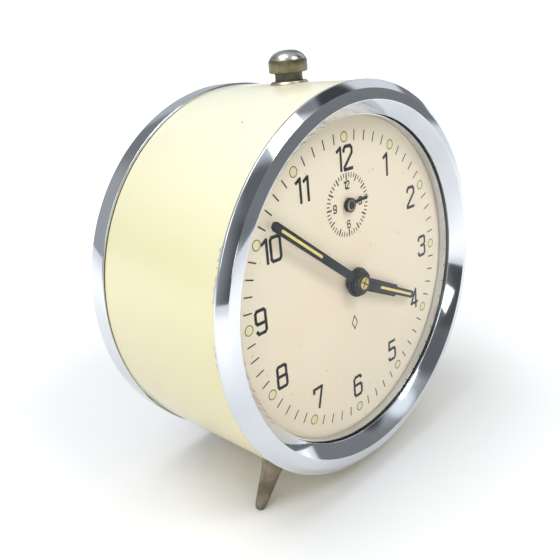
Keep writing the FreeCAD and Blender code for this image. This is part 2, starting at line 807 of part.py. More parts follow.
def winding_key(side, spot):
    """Butterfly key on the arbor's square: a tube with two flat wings."""
    low, high = -WING_THICK / 2, WING_THICK / 2
    shapes = [rod(3.2, 50.2, SQUARE_END + 0.4)]
    for way in (-1, 1):
        end = way * WING_REACH
        web = slab([(0, -2.2), (end, -4.0), (end, 4.0), (0, 2.2)], low, high)
        wing = joined([rod(4.6, low, high, end, 0.0), web])
        wing = wing.cut(rod(2.1, -2, 2, way * (WING_REACH + 0.4), 0.0))
        wing.rotate(Vec(0, 0, 0), Vec(1, 0, 0), 90)
        wing.translate(Vec(0, SQUARE_END - 0.2, 0))
        shapes.append(wing)
    node = f"{side}_key"
    feature(node, joined(shapes).cut(key_socket()), *spot)
    turn_in_place(node, spot, KEY_TURN[side])


def pinion_arbor(radius, pinion, wheel, ends):
    """A cut pinion and a wheel on one arbor, each given as (teeth, module, phase, front, back)."""
    teeth, module, phase, front, back = wheel
    disc = toothed(teeth, module, phase, front, back, WHEEL_FILL)
    rim = module * teeth / 2 - 1.9
    pieces = [rod(radius, *ends), toothed(*pinion, PINION_FILL), spoked(disc, 2.4, rim, 4, front, back)]
    return joined(pieces + [rod(1.9, front - 0.4, back + 0.3)])


def centre_phases():
    way = heading(winding_spot(1), (0, 0))
    pinion = mated(GREAT_PHASE, GREAT_TEETH, way, CENTRE_LEAVES)
    return pinion, 0.1


def third_phases():
    pinion = mated(centre_phases()[1], CENTRE_TEETH, heading((0, 0), THIRD), THIRD_LEAVES)
    return pinion, 0.2


def fourth_phases():
    pinion = mated(third_phases()[1], THIRD_TEETH, heading(THIRD, FOURTH), FOURTH_LEAVES)
    return pinion, 0.05


def escape_phase():
    return mated(fourth_phases()[1], FOURTH_TEETH, heading(FOURTH, ESCAPE), ESCAPE_LEAVES)


def centre_wheel():
    """Centre wheel and pinion on a sleeve that runs on the centre arbor."""
    bore = 1.0 + 0.04
    leaves, teeth = centre_phases()
    module = size("fine_module")
    pinion = toothed(CENTRE_LEAVES, size("great_module"), leaves, 13.7, 16.4, PINION_FILL, bore)
    wheel = toothed(CENTRE_TEETH, module, teeth, *CENTRE_LEVEL, WHEEL_FILL, bore)
    wheel = spoked(wheel, 2.9, module * CENTRE_TEETH / 2 - 2.0, 4, *CENTRE_LEVEL)
    sleeve = rod(1.7, 15.8, 27.2).cut(rod(bore, 15, 28))
    feature("centre_wheel", joined([pinion, wheel, sleeve]))


def centre_arbor():
    """Arbor through the movement from the cannon pinion to the hand-setting knob."""
    shaft = joined([rod(1.0, 4.2, ARBOR_END), rod(1.25, 11.9, 13.4), rod(1.25, 29.6, 31.6)])
    feature("centre_arbor", shaft)


def clutch_spring():
    """Dished washer that lets the centre arbor slip in its wheel when the hands are set."""
    turned("clutch_spring", [("1.02", "28.3"), ("1.02", "28.0"), ("1.4", "27.3"), ("1.6", "27.3"),
                             ("1.3", "28.3")])


def third_wheel():
    leaves, teeth = third_phases()
    pinion = (THIRD_LEAVES, size("fine_module"), leaves, 25.0, 27.4)
    wheel = (THIRD_TEETH, size("fine_module"), teeth, *THIRD_LEVEL)
    feature("third_wheel", pinion_arbor(size("arbor_rad"), pinion, wheel, TRAIN_ARBOR), *THIRD)


def fourth_wheel():
    leaves, teeth = fourth_phases()
    pinion = (FOURTH_LEAVES, size("fine_module"), leaves, 27.2, 29.4)
    wheel = (FOURTH_TEETH, size("escape_module"), teeth, *FOURTH_LEVEL)
    feature("fourth_wheel", pinion_arbor(size("arbor_rad"), pinion, wheel, TRAIN_ARBOR), *FOURTH)


def escape_wheel():
    """Fifteen pointed teeth on a spoked wheel, with its pinion."""
    corners = []
    pitch = 360 / ESCAPE_POINTS
    for i in range(ESCAPE_POINTS):
        corners += [polar(6.0, pitch * i), polar(4.7, pitch * i + 5), polar(4.6, pitch * i + 19)]
    wheel = spoked(slab(corners, *ESCAPE_LEVEL), 1.6, 3.6, 4, *ESCAPE_LEVEL, 1.0)
    pinion = toothed(ESCAPE_LEAVES, size("escape_module"), escape_phase(), 22.0, 24.2, PINION_FILL)
    arbor = rod(size("arbor_rad"), *TRAIN_ARBOR)
    feature("escape_wheel", joined([arbor, wheel, pinion, rod(1.3, 18.6, 20.0)]), *ESCAPE)


def local_frame(origin, toward):
    """Maps (along, across) to (x, z) with 'along' pointing from origin to another spot."""
    angle = heading(origin, toward)
    return lambda along, across: (along * math.cos(angle) - across * math.sin(angle),
                                  along * math.sin(angle) + across * math.cos(angle))


def pallet_fork():
    """Pin-pallet lever: two pins astride the escape wheel and a slotted tail by the balance."""
    at = local_frame(PALLET, ESCAPE)
    arbor = joined([rod(size("arbor_rad"), *TRAIN_ARBOR), rod(1.3, 19.5, 21.0)])
    tail = bar(at(0, 0), at(-4.6, 0), 1.2, *FORK_LEVEL)
    pieces = [arbor, tail]
    for side in (-1, 1):
        pin_at = at(1.4, side * 3.6)
        pieces.append(bar(at(0, 0), pin_at, 1.3, *FORK_LEVEL))
        pieces.append(rod(0.3, ESCAPE_LEVEL[0] - 0.2, 20.0, *pin_at))
        pieces.append(bar(at(-4.4, side * 0.3), at(-6.0, side * 1.0), 0.6, *FORK_LEVEL))
    feature("pallet_fork", joined(pieces), *PALLET)


BALANCE_LEVEL = (25.0, 26.2)
BALANCE_ARM_LEVEL = (25.2, 26.0)
IMPULSE_REACH = 2.6
STAFF_RAD = 0.8
REGULATOR_LEVEL = (31.5, 32.3)
REGULATOR_PIN_REACH = 8.8


def balance_wheel():
    """Heavy rim on two arms, with the impulse pin that works the fork."""
    rim = rod(7.0, *BALANCE_LEVEL).cut(rod(5.8, 24, 27))
    arms = bar((-6.0, 0), (6.0, 0), 1.6, *BALANCE_ARM_LEVEL)
    hub = rod(1.9, 24.8, 26.4)
    pin_at = polar(IMPULSE_REACH, math.degrees(heading(BALANCE, PALLET)))
    pin = rod(0.35, 21.1, 25.4, *pin_at)
    carrier = bar((0, 0), pin_at, 1.2, *BALANCE_ARM_LEVEL)
    wheel = joined([rim, arms, hub, carrier, pin]).cut(rod(STAFF_RAD, 20, 30))
    feature("balance_wheel", wheel, *BALANCE)


def balance_staff():
    front, back = 15.2, 28.8
    tips = [cone_tip(STAFF_RAD, front, front - 0.7), cone_tip(STAFF_RAD, back, back + 0.7)]
    staff = [rod(STAFF_RAD, front, back), rod(1.3, 27.4, 28.5)]
    feature("balance_staff", joined(staff + tips), *BALANCE)


def balance_bearings():
    """Two coned screws that the staff's points turn in."""
    def cup(face, far, slot_at):
        low, high = min(face, far), max(face, far)
        way = BACK if far > face else BACK * -1
        plug = rod(1.98, low, high).cut(Part.makeCone(1.0, 0.0, 1.3, Vec(0, face, 0), way))
        return plug.cut(block(-3, 3, *slot_at, -0.25, 0.25))
    front = cup(15.0, 10.4, (10.0, 10.9))
    back = cup(29.0, 34.0, (33.5, 34.5))
    pair = Part.makeCompound([front, back])
    feature("balance_bearings", pair, *BALANCE)


def hairspring():
    feature("hairspring", spiral_ribbon(1.45, 5.6, 5.5, 0.14, 27.6, 28.3), *BALANCE)


def regulator_lever():
    """Arm about the balance's axis whose pin comes out through the cover's curved slot."""
    reach = REGULATOR_PIN_REACH
    ring = rod(3.6, *REGULATOR_LEVEL).cut(rod(2.03, 31, 33))
    arm = bar((3.0, 0), (reach, 0), 1.8, *REGULATOR_LEVEL)
    pin = joined([rod(0.7, 31.6, 50.6, reach, 0), rod(0.95, 49.2, 50.9, reach, 0)])
    feature("regulator_lever", joined([ring, arm, pin]).cut(rod(2.03, 31, 33)), *BALANCE)


# ================================================================ hands and motion work

MOTION_LEVEL = (7.9, 8.7)
MINUTE_LEVEL = (10.0, 10.8)
MINUTE_HAND_DEG = 308.0
HOUR_HAND_DEG = 115.6
ALARM_HAND_DEG = 85.0
CANNON_MODULE = 12.0 * 2 / (MINUTE_TEETH + CANNON_LEAVES)
MOTION_MODULE = 0.4
CANNON_PHASE = 0.13
MINUTE_LEAF_PHASE = 0.0
ALARM_HAND_RAD = 1.0


def clockwise(degrees, reach, side=0.0):
    """A point 'reach' out along a hand at a clock angle, 'side' to its right."""
    angle = math.radians(degrees)
    return (reach * math.sin(angle) + side * math.cos(angle),
            reach * math.cos(angle) - side * math.sin(angle))


def hand_blade(degrees, outline, front, back):
    """A flat hand from (reach, half width) pairs, mirrored about its own line."""
    right = [clockwise(degrees, reach, half) for reach, half in outline]
    left = [clockwise(degrees, reach, -half) for reach, half in reversed(outline)]
    return slab(right + left, front, back)


def minute_hand():
    blade = hand_blade(MINUTE_HAND_DEG, [(0, 1.15), (37.7, 1.2), (38.6, 0.65)], 3.5, 3.9)
    hub = joined([blade, rod(3.4, 3.3, 4.0), rod(2.1, 2.35, 3.4)])
    feature("minute_hand", hub.cut(rod(1.0, 4.19, 6)).cut(rod(1.46, 3.9, 6)))


def hour_hand():
    outline = [(0, 1.9), (18.7, 1.75), (19.3, 1.15), (27.8, 1.1), (28.6, 0.5)]
    blade = hand_blade(HOUR_HAND_DEG, outline, 4.6, 5.0)
    collar = rod(2.7, 5.0, 5.9).cut(rod(2.1, 4, 7))
    hub = joined([blade, rod(4.0, 4.35, 5.0)]).cut(rod(1.55, 4, 7))
    feature("hour_hand", joined([hub, collar]))


def cannon_pinion():
    leaves = toothed(CANNON_LEAVES, CANNON_MODULE, CANNON_PHASE, 9.5, 11.4, PINION_FILL, 1.0)
    pipe = rod(1.45, 3.9, 9.8).cut(rod(1.0, 3, 10))
    feature("cannon_pinion", joined([leaves, pipe]))


def minute_wheel():
    """Meshes with the cannon pinion; its own leaves drive the hour and alarm wheels."""
    phase = mated(CANNON_PHASE, CANNON_LEAVES, heading((0, 0), MINUTE), MINUTE_TEETH)
    gear = toothed(MINUTE_TEETH, CANNON_MODULE, phase, *MINUTE_LEVEL, WHEEL_FILL, 0.84)
    leaves = toothed(MINUTE_LEAVES, MOTION_MODULE, MINUTE_LEAF_PHASE, 7.7, 9.6, PINION_FILL, 0.84)
    sleeve = rod(1.6, 9.2, 11.2).cut(rod(0.84, 7, 12))
    feature("minute_wheel", joined([spoked(gear, 2.6, 7.2, 3, *MINUTE_LEVEL), leaves, sleeve]), *MINUTE)


def hour_wheel():
    phase = mated(MINUTE_LEAF_PHASE, MINUTE_LEAVES, heading(MINUTE, (0, 0)), HOUR_TEETH)
    gear = toothed(HOUR_TEETH, MOTION_MODULE, phase, *MOTION_LEVEL, WHEEL_FILL, 1.55)
    pipe = rod(2.1, 5.0, 8.8).cut(rod(1.55, 4, 10))
    feature("hour_wheel", joined([gear, pipe]))


def alarm_wheel():
    spot = (0.0, size("subdial_up"))
    phase = mated(MINUTE_LEAF_PHASE, MINUTE_LEAVES, heading(MINUTE, spot), HOUR_TEETH)
    gear = toothed(HOUR_TEETH, MOTION_MODULE, phase, *MOTION_LEVEL, WHEEL_FILL, 1.04)
    cam = rod(3.0, 8.6, 9.2).cut(rod(1.04, 8, 10))
    cam = cam.cut(block(1.5, 4, 8.9, 10, -1.2, 1.2))
    feature("alarm_wheel", joined([spoked(gear, 3.4, 7.6, 3, *MOTION_LEVEL), cam]), *spot)


def alarm_arbor():
    shaft = joined([rod(ALARM_HAND_RAD, 5.8, ARBOR_END), rod(1.6, 31.5, 33.5), rod(2.2, 9.7, 10.6)])
    feature("alarm_arbor", shaft, 0.0, size("subdial_up"))


def alarm_hand():
    blade = hand_blade(ALARM_HAND_DEG, [(0, 0.5), (5.0, 0.38), (7.9, 0.13)], 5.9, 6.2)
    hub = joined([blade, rod(1.9, 5.4, 6.25), rod(1.1, 5.2, 5.5)]).cut(rod(ALARM_HAND_RAD, 5.8, 7))
    feature("alarm_hand", hub, 0.0, size("subdial_up"))


def alarm_release_spring():
    """Leaf on the front plate whose tongue presses towards the alarm wheel's cam."""
    root = (-16.0, 25.0)
    leaf = bar(root, (-4.4, 22.2), 2.2, 9.5, 9.8)
    feature("alarm_release_spring", joined([leaf, rod(1.4, 9.5, 12.0, *root)]))


def knurled(radius, front, back, ridges):
    corners = []
    for i in range(ridges):
        corners += [polar(radius, 360 / ridges * i), polar(radius - 0.35, 360 / ridges * (i + 0.5))]
    return slab(corners, front, back)


KNURLS = 28


def setting_knob(node, spot, radius):
    neck = rod(2.1, 49.0, 51.0)
    grip = joined([knurled(radius, 51.0, 55.4, KNURLS), rod(radius - 0.5, 50.7, 55.9), neck])
    feature(node, grip.cut(rod(1.0, 48, ARBOR_END)), *spot)


# ================================================================ alarm train

ALARM_GREAT_PHASE = 0.04
ALARM_ESCAPE_LEVEL = (23.0, 23.8)


def alarm_great_wheel():
    spot = winding_spot(-1)
    bore = size("winding_arbor_rad") + 0.05
    module = size("alarm_module")
    wheel = toothed(ALARM_GREAT_TEETH, module, ALARM_GREAT_PHASE, *GREAT_LEVEL, WHEEL_FILL, bore)
    wheel = spoked(wheel, 12.0, 13.2, 3, *GREAT_LEVEL)
    feature("alarm_great_wheel", joined([wheel, click_stud(ALARM_CLICK_REACH)]), *spot)


def alarm_escape_wheel():
    spot = alarm_escape_spot()
    way = heading(winding_spot(-1), spot)
    phase = mated(ALARM_GREAT_PHASE, ALARM_GREAT_TEETH, way, ALARM_ESCAPE_LEAVES)
    pitch = 360 / ALARM_ESCAPE_POINTS
    corners = []
    for i in range(ALARM_ESCAPE_POINTS):
        corners += [polar(5.6, pitch * i), polar(4.4, pitch * i + 9), polar(4.4, pitch * i + 21)]
    wheel = slab(corners, *ALARM_ESCAPE_LEVEL)
    pinion = toothed(ALARM_ESCAPE_LEAVES, size("alarm_module"), phase, 13.7, 16.2, PINION_FILL)
    arbor = rod(size("arbor_rad"), *TRAIN_ARBOR)
    feature("alarm_escape_wheel", joined([arbor, wheel, pinion, rod(1.3, 22.4, 24.4)]), *spot)


HAMMER_ELBOW = (-30.0, -15.0)
HAMMER_HEAD = (-21.5, -22.5)
HAMMER_TAIL = (-31.4, 20.3)
HAMMER_ARM_LEVEL = (32.6, 33.8)


def hammer():
    """Verge, tail and striking arm on one arbor; the head stands beside the bell's rim."""
    spot = hammer_spot()
    at = local_frame(spot, alarm_escape_spot())
    pieces = [rod(1.0, 11.6, HAMMER_ARM_LEVEL[1], *spot), rod(1.8, 22.0, 25.0, *spot)]
    pieces.append(bar(spot, HAMMER_TAIL, 1.6, 22.9, 24.1))
    for side in (-1, 1):
        knee = offset(spot, at(1.0, side * 3.4))
        pieces.append(bar(spot, knee, 1.2, *ALARM_ESCAPE_LEVEL))
        pieces.append(bar(knee, offset(spot, at(2.3, side * 3.6)), 0.9, *ALARM_ESCAPE_LEVEL))
    pieces.append(bar(spot, HAMMER_ELBOW, 1.8, *HAMMER_ARM_LEVEL))
    pieces.append(bar(HAMMER_ELBOW, HAMMER_HEAD, 1.8, *HAMMER_ARM_LEVEL))
    pieces += [rod(1.0, 33.0, 41.0, *HAMMER_HEAD), rod(2.6, 36.0, 40.6, *HAMMER_HEAD)]
    feature("hammer", joined(pieces))


def offset(spot, move):
    return spot[0] + move[0], spot[1] + move[1]


def bell():
    """Shallow steel cup, open towards the movement."""
    turned("bell", [("bell_rad", "34.6"), ("bell_rad", "40.6"), ("bell_rad-2.2", "43.2"),
                    ("1.3", "44.2"), ("1.3", "43.3"), ("bell_rad-2.8", "42.4"),
                    ("bell_rad-0.9", "40.3"), ("bell_rad-0.9", "34.6")], z=-size("bell_down"))


# ================================================================ assembly

def build():
    case_drum()
    front_bezel()
    crystal()
    dial_spacer_ring()
    dial()
    rear_ring()
    rear_cover()
    foot("left_foot", -1)
    foot("right_foot", 1)
    button_collar()
    stop_button()
    stop_lever()
    front_plate()
    rear_plate()
    pillars()
    nuts()
    screws()
    plate_studs()
    case_lugs()
    build_going_side()
    build_alarm_side()
    build_motion_work()


def build_going_side():
    spot = winding_spot(1)
    great_wheel()
    winding_arbor("time", spot, 17.3, 24.1)
    ratchet("time_ratchet", spot, 18, 8.6, *RATCHET_LEVEL, size("winding_arbor_rad"))
    click("time_click", spot, TIME_CLICK_REACH, 9.4, *CLICK_LEVEL)
    click_spring("time_click_spring", spot, TIME_CLICK_REACH, 13.8, *CLICK_SPRING_LEVEL)
    mainspring("time_mainspring", spot, size("spring_rad"), 17.4, 24.0, 9)
    winding_key("time", spot)
    centre_wheel()
    centre_arbor()
    clutch_spring()
    third_wheel()
    fourth_wheel()
    escape_wheel()
    pallet_fork()
    balance_wheel()
    balance_staff()
    balance_bearings()
    hairspring()
    regulator_lever()


def build_alarm_side():
    spot = winding_spot(-1)
    alarm_great_wheel()
    winding_arbor("alarm", spot, 17.3, 22.5)
    ratchet("alarm_ratchet", spot, 16, 7.6, *RATCHET_LEVEL, size("winding_arbor_rad"))
    click("alarm_click", spot, ALARM_CLICK_REACH, 8.4, *CLICK_LEVEL)
    mainspring("alarm_mainspring", spot, 11.0, 17.4, 22.4, 7)
    winding_key("alarm", spot)
    alarm_escape_wheel()
    hammer()
    bell()
    alarm_wheel()
    alarm_arbor()
    alarm_hand()
    alarm_release_spring()
    setting_knob("alarm_set_knob", (0.0, size("subdial_up")), 4.2)


def build_motion_work():
    cannon_pinion()
    minute_wheel()
    hour_wheel()
    hour_hand()
    minute_hand()
    setting_knob("hand_set_knob", (0.0, 0.0), 5.4)


def stand():
    """Leans the clock back onto its feet and rear ring, with the box's centre over the origin."""
    tilt = FreeCAD.Placement(Vec(0, 0, 0), lean())
    for obj in SUBPARTS.values():
        obj.Placement = tilt.multiply(obj.Placement)
    doc.recompute()
    low = min(obj.Shape.BoundBox.YMin for obj in SUBPARTS.values())
    high = max(obj.Shape.BoundBox.YMax for obj in SUBPARTS.values())
    shift = FreeCAD.Placement(Vec(0, -(low + high) / 2, floor_drop()), NO_TURN)
    for obj in SUBPARTS.values():
        obj.Placement = shift.multiply(obj.Placement)
    doc.recompute()
    return shift.multiply(tilt)


def checked():
    """Stops on any failed object or bad shape."""
    for obj in doc.Objects:
        if "Invalid" in obj.State or "Error" in obj.State:
            raise RuntimeError(f"{obj.Label} is {obj.State}")
    for node, obj in SUBPARTS.items():
        if obj.Shape.isNull() or not obj.Shape.isValid() or not obj.Shape.Solids:
            raise RuntimeError(f"{node} has no valid solid")


def write_parts():
    os.makedirs("parts", exist_ok=True)
    for node, obj in SUBPARTS.items():
        obj.Shape.exportStep(f"parts/{node}.step")


build()
doc.recompute()
STANCE = stand()
checked()
write_parts()
print(len(SUBPARTS), "sub-parts, stance", STANCE)
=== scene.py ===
import json
import math

import bmesh
import bpy
from mathutils import Matrix, Vector

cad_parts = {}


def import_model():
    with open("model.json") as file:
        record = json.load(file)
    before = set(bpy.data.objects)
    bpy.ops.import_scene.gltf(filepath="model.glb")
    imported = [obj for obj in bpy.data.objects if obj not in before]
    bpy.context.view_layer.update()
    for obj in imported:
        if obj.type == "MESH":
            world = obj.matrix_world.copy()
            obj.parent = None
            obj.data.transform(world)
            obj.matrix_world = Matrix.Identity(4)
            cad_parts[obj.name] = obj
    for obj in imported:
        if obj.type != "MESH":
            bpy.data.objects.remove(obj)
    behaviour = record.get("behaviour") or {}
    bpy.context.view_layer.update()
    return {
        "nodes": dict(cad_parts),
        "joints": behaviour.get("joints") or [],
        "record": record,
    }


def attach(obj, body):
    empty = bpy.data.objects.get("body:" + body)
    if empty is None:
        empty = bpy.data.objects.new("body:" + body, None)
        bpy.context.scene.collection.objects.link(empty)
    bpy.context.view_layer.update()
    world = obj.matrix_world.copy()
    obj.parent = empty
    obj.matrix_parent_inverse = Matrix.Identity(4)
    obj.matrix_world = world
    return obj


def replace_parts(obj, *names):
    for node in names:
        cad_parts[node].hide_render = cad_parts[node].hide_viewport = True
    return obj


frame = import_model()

# ---------------------------------------------------------------- the clock's own axes

MM = 0.001
JOINTS = {joint["name"]: joint for joint in frame["joints"]}
HAND_AXIS = JOINTS["hand_setting"]
HAND_AXIS_DEPTH = 52.0  # the hand joint's point lies this far behind the bezel's front edge
BACK = Vector(HAND_AXIS["axis"]).normalized()
RIGHT = Vector((1, 0, 0))
UP = RIGHT.cross(BACK)
CENTRE = Vector(HAND_AXIS["pos_m"]) - BACK * HAND_AXIS_DEPTH * MM
CLOCK = Matrix((
    (RIGHT.x, BACK.x, UP.x, CENTRE.x),
    (RIGHT.y, BACK.y, UP.y, CENTRE.y),
    (RIGHT.z, BACK.z, UP.z, CENTRE.z),
    (0, 0, 0, 1),
))

# ---------------------------------------------------------------- sizes, in mm

BEZEL_RAD = 52.2
BEZEL_FRONT_RAD = 50.0
FACE_IN_RAD = 47.25
NOSE = 0.65
BEVEL_BACK = 1.8
WINDOW_RAD = 44.0
WINDOW_FRONT = 2.8
DRUM_RAD = 52.0
DRUM_FRONT, DRUM_BACK = 2.4, 45.2
RING_RAD = 52.5
CASE_BACK = 51.35
DRUM_THICK = 0.8
SKIRT_GAP = 0.05  # between the drum's inside and the skirts of the bezel and the rear ring
BEZEL_LIP = 0.55
SKIRT_BACK = 8.8
SKIRT_THICK = 0.9
GLASS_SEAT = (46.1, 3.1, 4.2)  # radius, front and back of the step that holds the glass
RING_SKIRT_FRONT = 42.2
RING_FRONT = 45.5
COVER_SEAT = 47.55
COVER_SEAT_RADII = (48.5, 50.5)
SEAM_RADII = (51.3, 51.85)
GLASS_EDGE = 3.15
GLASS_RAD = 45.9
GLASS_CROWN = 2.6
GLASS_THICK = 1.0
DIAL_FRONT = 6.6
DIAL_RAD = 49.8
DIAL_SEEN_RAD = 43.6
DIAL_HOLE_RAD = 2.75
DIAL_THICK = 0.38
WALL_RAD = 47.0
WALL_DEPTHS = (4.3, 6.5)
PRINT_LIFT = 0.02
SUBDIAL_UP = 21.0
MINUTE_HAND_DEG = 308.0
HOUR_HAND_DEG = 115.6
FOOT_BACK = 14.25
FOOT_DEG = 32.3
BUTTON_BACK = 23.5
BUTTON_TRAVEL = 2.0


def at(x, y, z):
    """A point in the clock's own axes, given in mm, in the scene."""
    return CLOCK @ Vector((x * MM, y * MM, z * MM))


# ---------------------------------------------------------------- mesh makers

def piece(name, verts, faces, body, smooth_deg=35.0):
    """A mesh piece from clock-axis points in mm, shaded smooth across gentle edges."""
    mesh = bpy.data.meshes.new(name)
    mesh.from_pydata([at(*v) for v in verts], [], faces)
    obj = bpy.data.objects.new(name, mesh)
    bpy.context.scene.collection.objects.link(obj)
    tidy_normals(obj, smooth_deg)
    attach(obj, body)
    return obj


def tidy_normals(obj, smooth_deg):
    """Points faces outward, then shades smooth with sharp edges above an angle."""
    bm = bmesh.new()
    bm.from_mesh(obj.data)
    bmesh.ops.recalc_face_normals(bm, faces=bm.faces)
    limit = math.radians(smooth_deg)
    for face in bm.faces:
        face.smooth = True
    for edge in bm.edges:
        edge.smooth = len(edge.link_faces) != 2 or edge.calc_face_angle(0.0) < limit
    bm.to_mesh(obj.data)
    bm.free()


def lathe_grid(profile, count, middle=(0.0, 0.0)):
    """Verts and faces of a closed (radius, depth) profile turned about a line along Y."""
    verts = []
    for radius, depth in profile:
        for i in range(count):
            turn = 2 * math.pi * i / count
            verts.append((middle[0] + radius * math.sin(turn), depth, middle[1] + radius * math.cos(turn)))
    faces = []
    rows = len(profile)
    for row in range(rows):
        after = (row + 1) % rows
        for i in range(count):
            j = (i + 1) % count
            faces.append((row * count + i, row * count + j, after * count + j, after * count + i))
    return verts, faces


def rounded(points, radius, steps=4):
    """A closed outline with each corner replaced by a small arc-like curve."""
    result = []
    count = len(points)
    for i in range(count):
        corner = Vector(points[i])
        before = Vector(points[i - 1]) - corner
        after = Vector(points[(i + 1) % count]) - corner
        reach = min(radius, before.length * 0.45, after.length * 0.45)
        start = corner + before.normalized() * reach
        end = corner + after.normalized() * reach
        for k in range(steps + 1):
            share = k / steps
            point = start * (1 - share) ** 2 + corner * 2 * share * (1 - share) + end * share ** 2
            result.append(tuple(point))
    return result


def ring_piece(name, profile, body, count=224, middle=(0.0, 0.0), edge=0.12):
    """A turned ring with its profile's corners eased."""
    verts, faces = lathe_grid(rounded(profile, edge), count, middle)
    return piece(name, verts, faces, body)


def post_piece(name, profile, body, count=72):
    """A piece turned about the button's own line: profile pairs are (radius, height)."""
    verts = [(0.0, BUTTON_BACK, profile[0][1])]
    for radius, height in profile:
        for i in range(count):
            turn = 2 * math.pi * i / count
            verts.append((radius * math.sin(turn), BUTTON_BACK + radius * math.cos(turn), height))
    verts.append((0.0, BUTTON_BACK, profile[-1][1]))
    last = len(verts) - 1
    faces = []
    for row in range(len(profile) - 1):
        for i in range(count):
            j = (i + 1) % count
            faces.append((1 + row * count + i, 1 + row * count + j,
                          1 + (row + 1) * count + j, 1 + (row + 1) * count + i))
    for i in range(count):
        j = (i + 1) % count
        faces.append((0, 1 + j, 1 + i))
        faces.append((last, last - count + i, last - count + j))
    return piece(name, verts, faces, body)


# ---------------------------------------------------------------- materials

class Paint:
    """A Principled material and the nodes that vary it."""

    def __init__(self, name, rough=0.4, metal=0.0, coat=0.0, spec=0.5):
        self.mat = bpy.data.materials.new(name)
        self.mat.use_nodes = True
        self.tree = self.mat.node_tree
        self.shader = self.tree.nodes["Principled BSDF"]
        self.shader.inputs["Roughness"].default_value = rough
        self.shader.inputs["Metallic"].default_value = metal
        self.shader.inputs["Coat Weight"].default_value = coat
        self.shader.inputs["Coat Roughness"].default_value = 0.05
        self.shader.inputs["Specular IOR Level"].default_value = spec
        self.where = self.add("ShaderNodeTexCoord").outputs["Object"]

    def add(self, kind, **settings):
        node = self.tree.nodes.new(kind)
        for key, value in settings.items():
            setattr(node, key, value)
        return node

    def link(self, out, into):
        self.tree.links.new(out, into)

    def stretched(self, scale):
        node = self.add("ShaderNodeMapping")
        node.inputs["Scale"].default_value = scale
        self.link(self.where, node.inputs["Vector"])
        return node.outputs["Vector"]

    def noise(self, scale, detail=4.0, stretch=None):
        node = self.add("ShaderNodeTexNoise")
        node.inputs["Scale"].default_value = scale
        node.inputs["Detail"].default_value = detail
        self.link(self.stretched(stretch) if stretch else self.where, node.inputs["Vector"])
        return node.outputs["Fac"]

    def ramp(self, factor, stops):
        node = self.add("ShaderNodeValToRGB")
        while len(node.color_ramp.elements) < len(stops):
            node.color_ramp.elements.new(0.5)
        for element, (place, colour) in zip(node.color_ramp.elements, stops):
            element.position = place
            element.color = (*colour, 1.0)
        self.link(factor, node.inputs["Fac"])
        return node.outputs["Color"]

    def mix(self, factor, first, second):
        node = self.add("ShaderNodeMix", data_type="RGBA")
        self.link(factor, node.inputs["Factor"])
        colours = [s for s in node.inputs if s.type == "RGBA"]
        for socket, value in zip(colours, (first, second)):
            if isinstance(value, tuple):
                socket.default_value = (*value, 1.0)
            else:
                self.link(value, socket)
        return next(s for s in node.outputs if s.type == "RGBA")

    def colour(self, source):
        self.link(source, self.shader.inputs["Base Color"])

    def roughness(self, factor, low, high):
        node = self.add("ShaderNodeMapRange")
        node.inputs["To Min"].default_value = low
        node.inputs["To Max"].default_value = high
        self.link(factor, node.inputs["Value"])
        self.link(node.outputs["Result"], self.shader.inputs["Roughness"])

    def bump(self, height, strength, distance=0.0002):
        node = self.add("ShaderNodeBump")
        node.inputs["Strength"].default_value = strength
        node.inputs["Distance"].default_value = distance
        self.link(height, node.inputs["Height"])
        self.link(node.outputs["Normal"], self.shader.inputs["Normal"])

    def specks(self, scale, size):
        """Scattered small dots: 1 inside a dot, 0 elsewhere."""
        node = self.add("ShaderNodeTexVoronoi")
        node.inputs["Scale"].default_value = scale
        self.link(self.where, node.inputs["Vector"])
        test = self.add("ShaderNodeMath", operation="LESS_THAN")
        test.inputs[1].default_value = size
        self.link(node.outputs["Distance"], test.inputs[0])
        return test.outputs["Value"]

    def product(self, first, second):
        node = self.add("ShaderNodeMath", operation="MULTIPLY")
        self.link(first, node.inputs[0])
        self.link(second, node.inputs[1])
        return node.outputs["Value"]

    def above(self, factor, limit):
        node = self.add("ShaderNodeMath", operation="GREATER_THAN")
        node.inputs[1].default_value = limit
        self.link(factor, node.inputs[0])
        return node.outputs["Value"]


SCRATCH_STRETCH = (30, 900, 900)


def metal(name, dark, light, rough, scale, spread, bump):
    """Metal whose tint, polish and fine scratches vary over the surface."""
    paint = Paint(name, metal=1.0)
    tint = paint.noise(scale)
    paint.colour(paint.ramp(tint, [(0.3, dark), (0.7, light)]))
    paint.roughness(paint.noise(scale * 2.3), rough, rough + spread)
    paint.bump(paint.noise(1.0, 3.0, SCRATCH_STRETCH), bump, 0.00005)
    return paint.mat


CHIP_REACH = 2.6  # how far back from the drum's front edge its chips fade out, in mm
LOW_SHADE_HEIGHTS = (0.0, 0.11)  # metres over the floor between which the painted shade of the drum's lower side fades
# metres over the floor between which the painted light on the drum's top fades in
LIT_TOP_HEIGHTS = (0.070, 0.108)


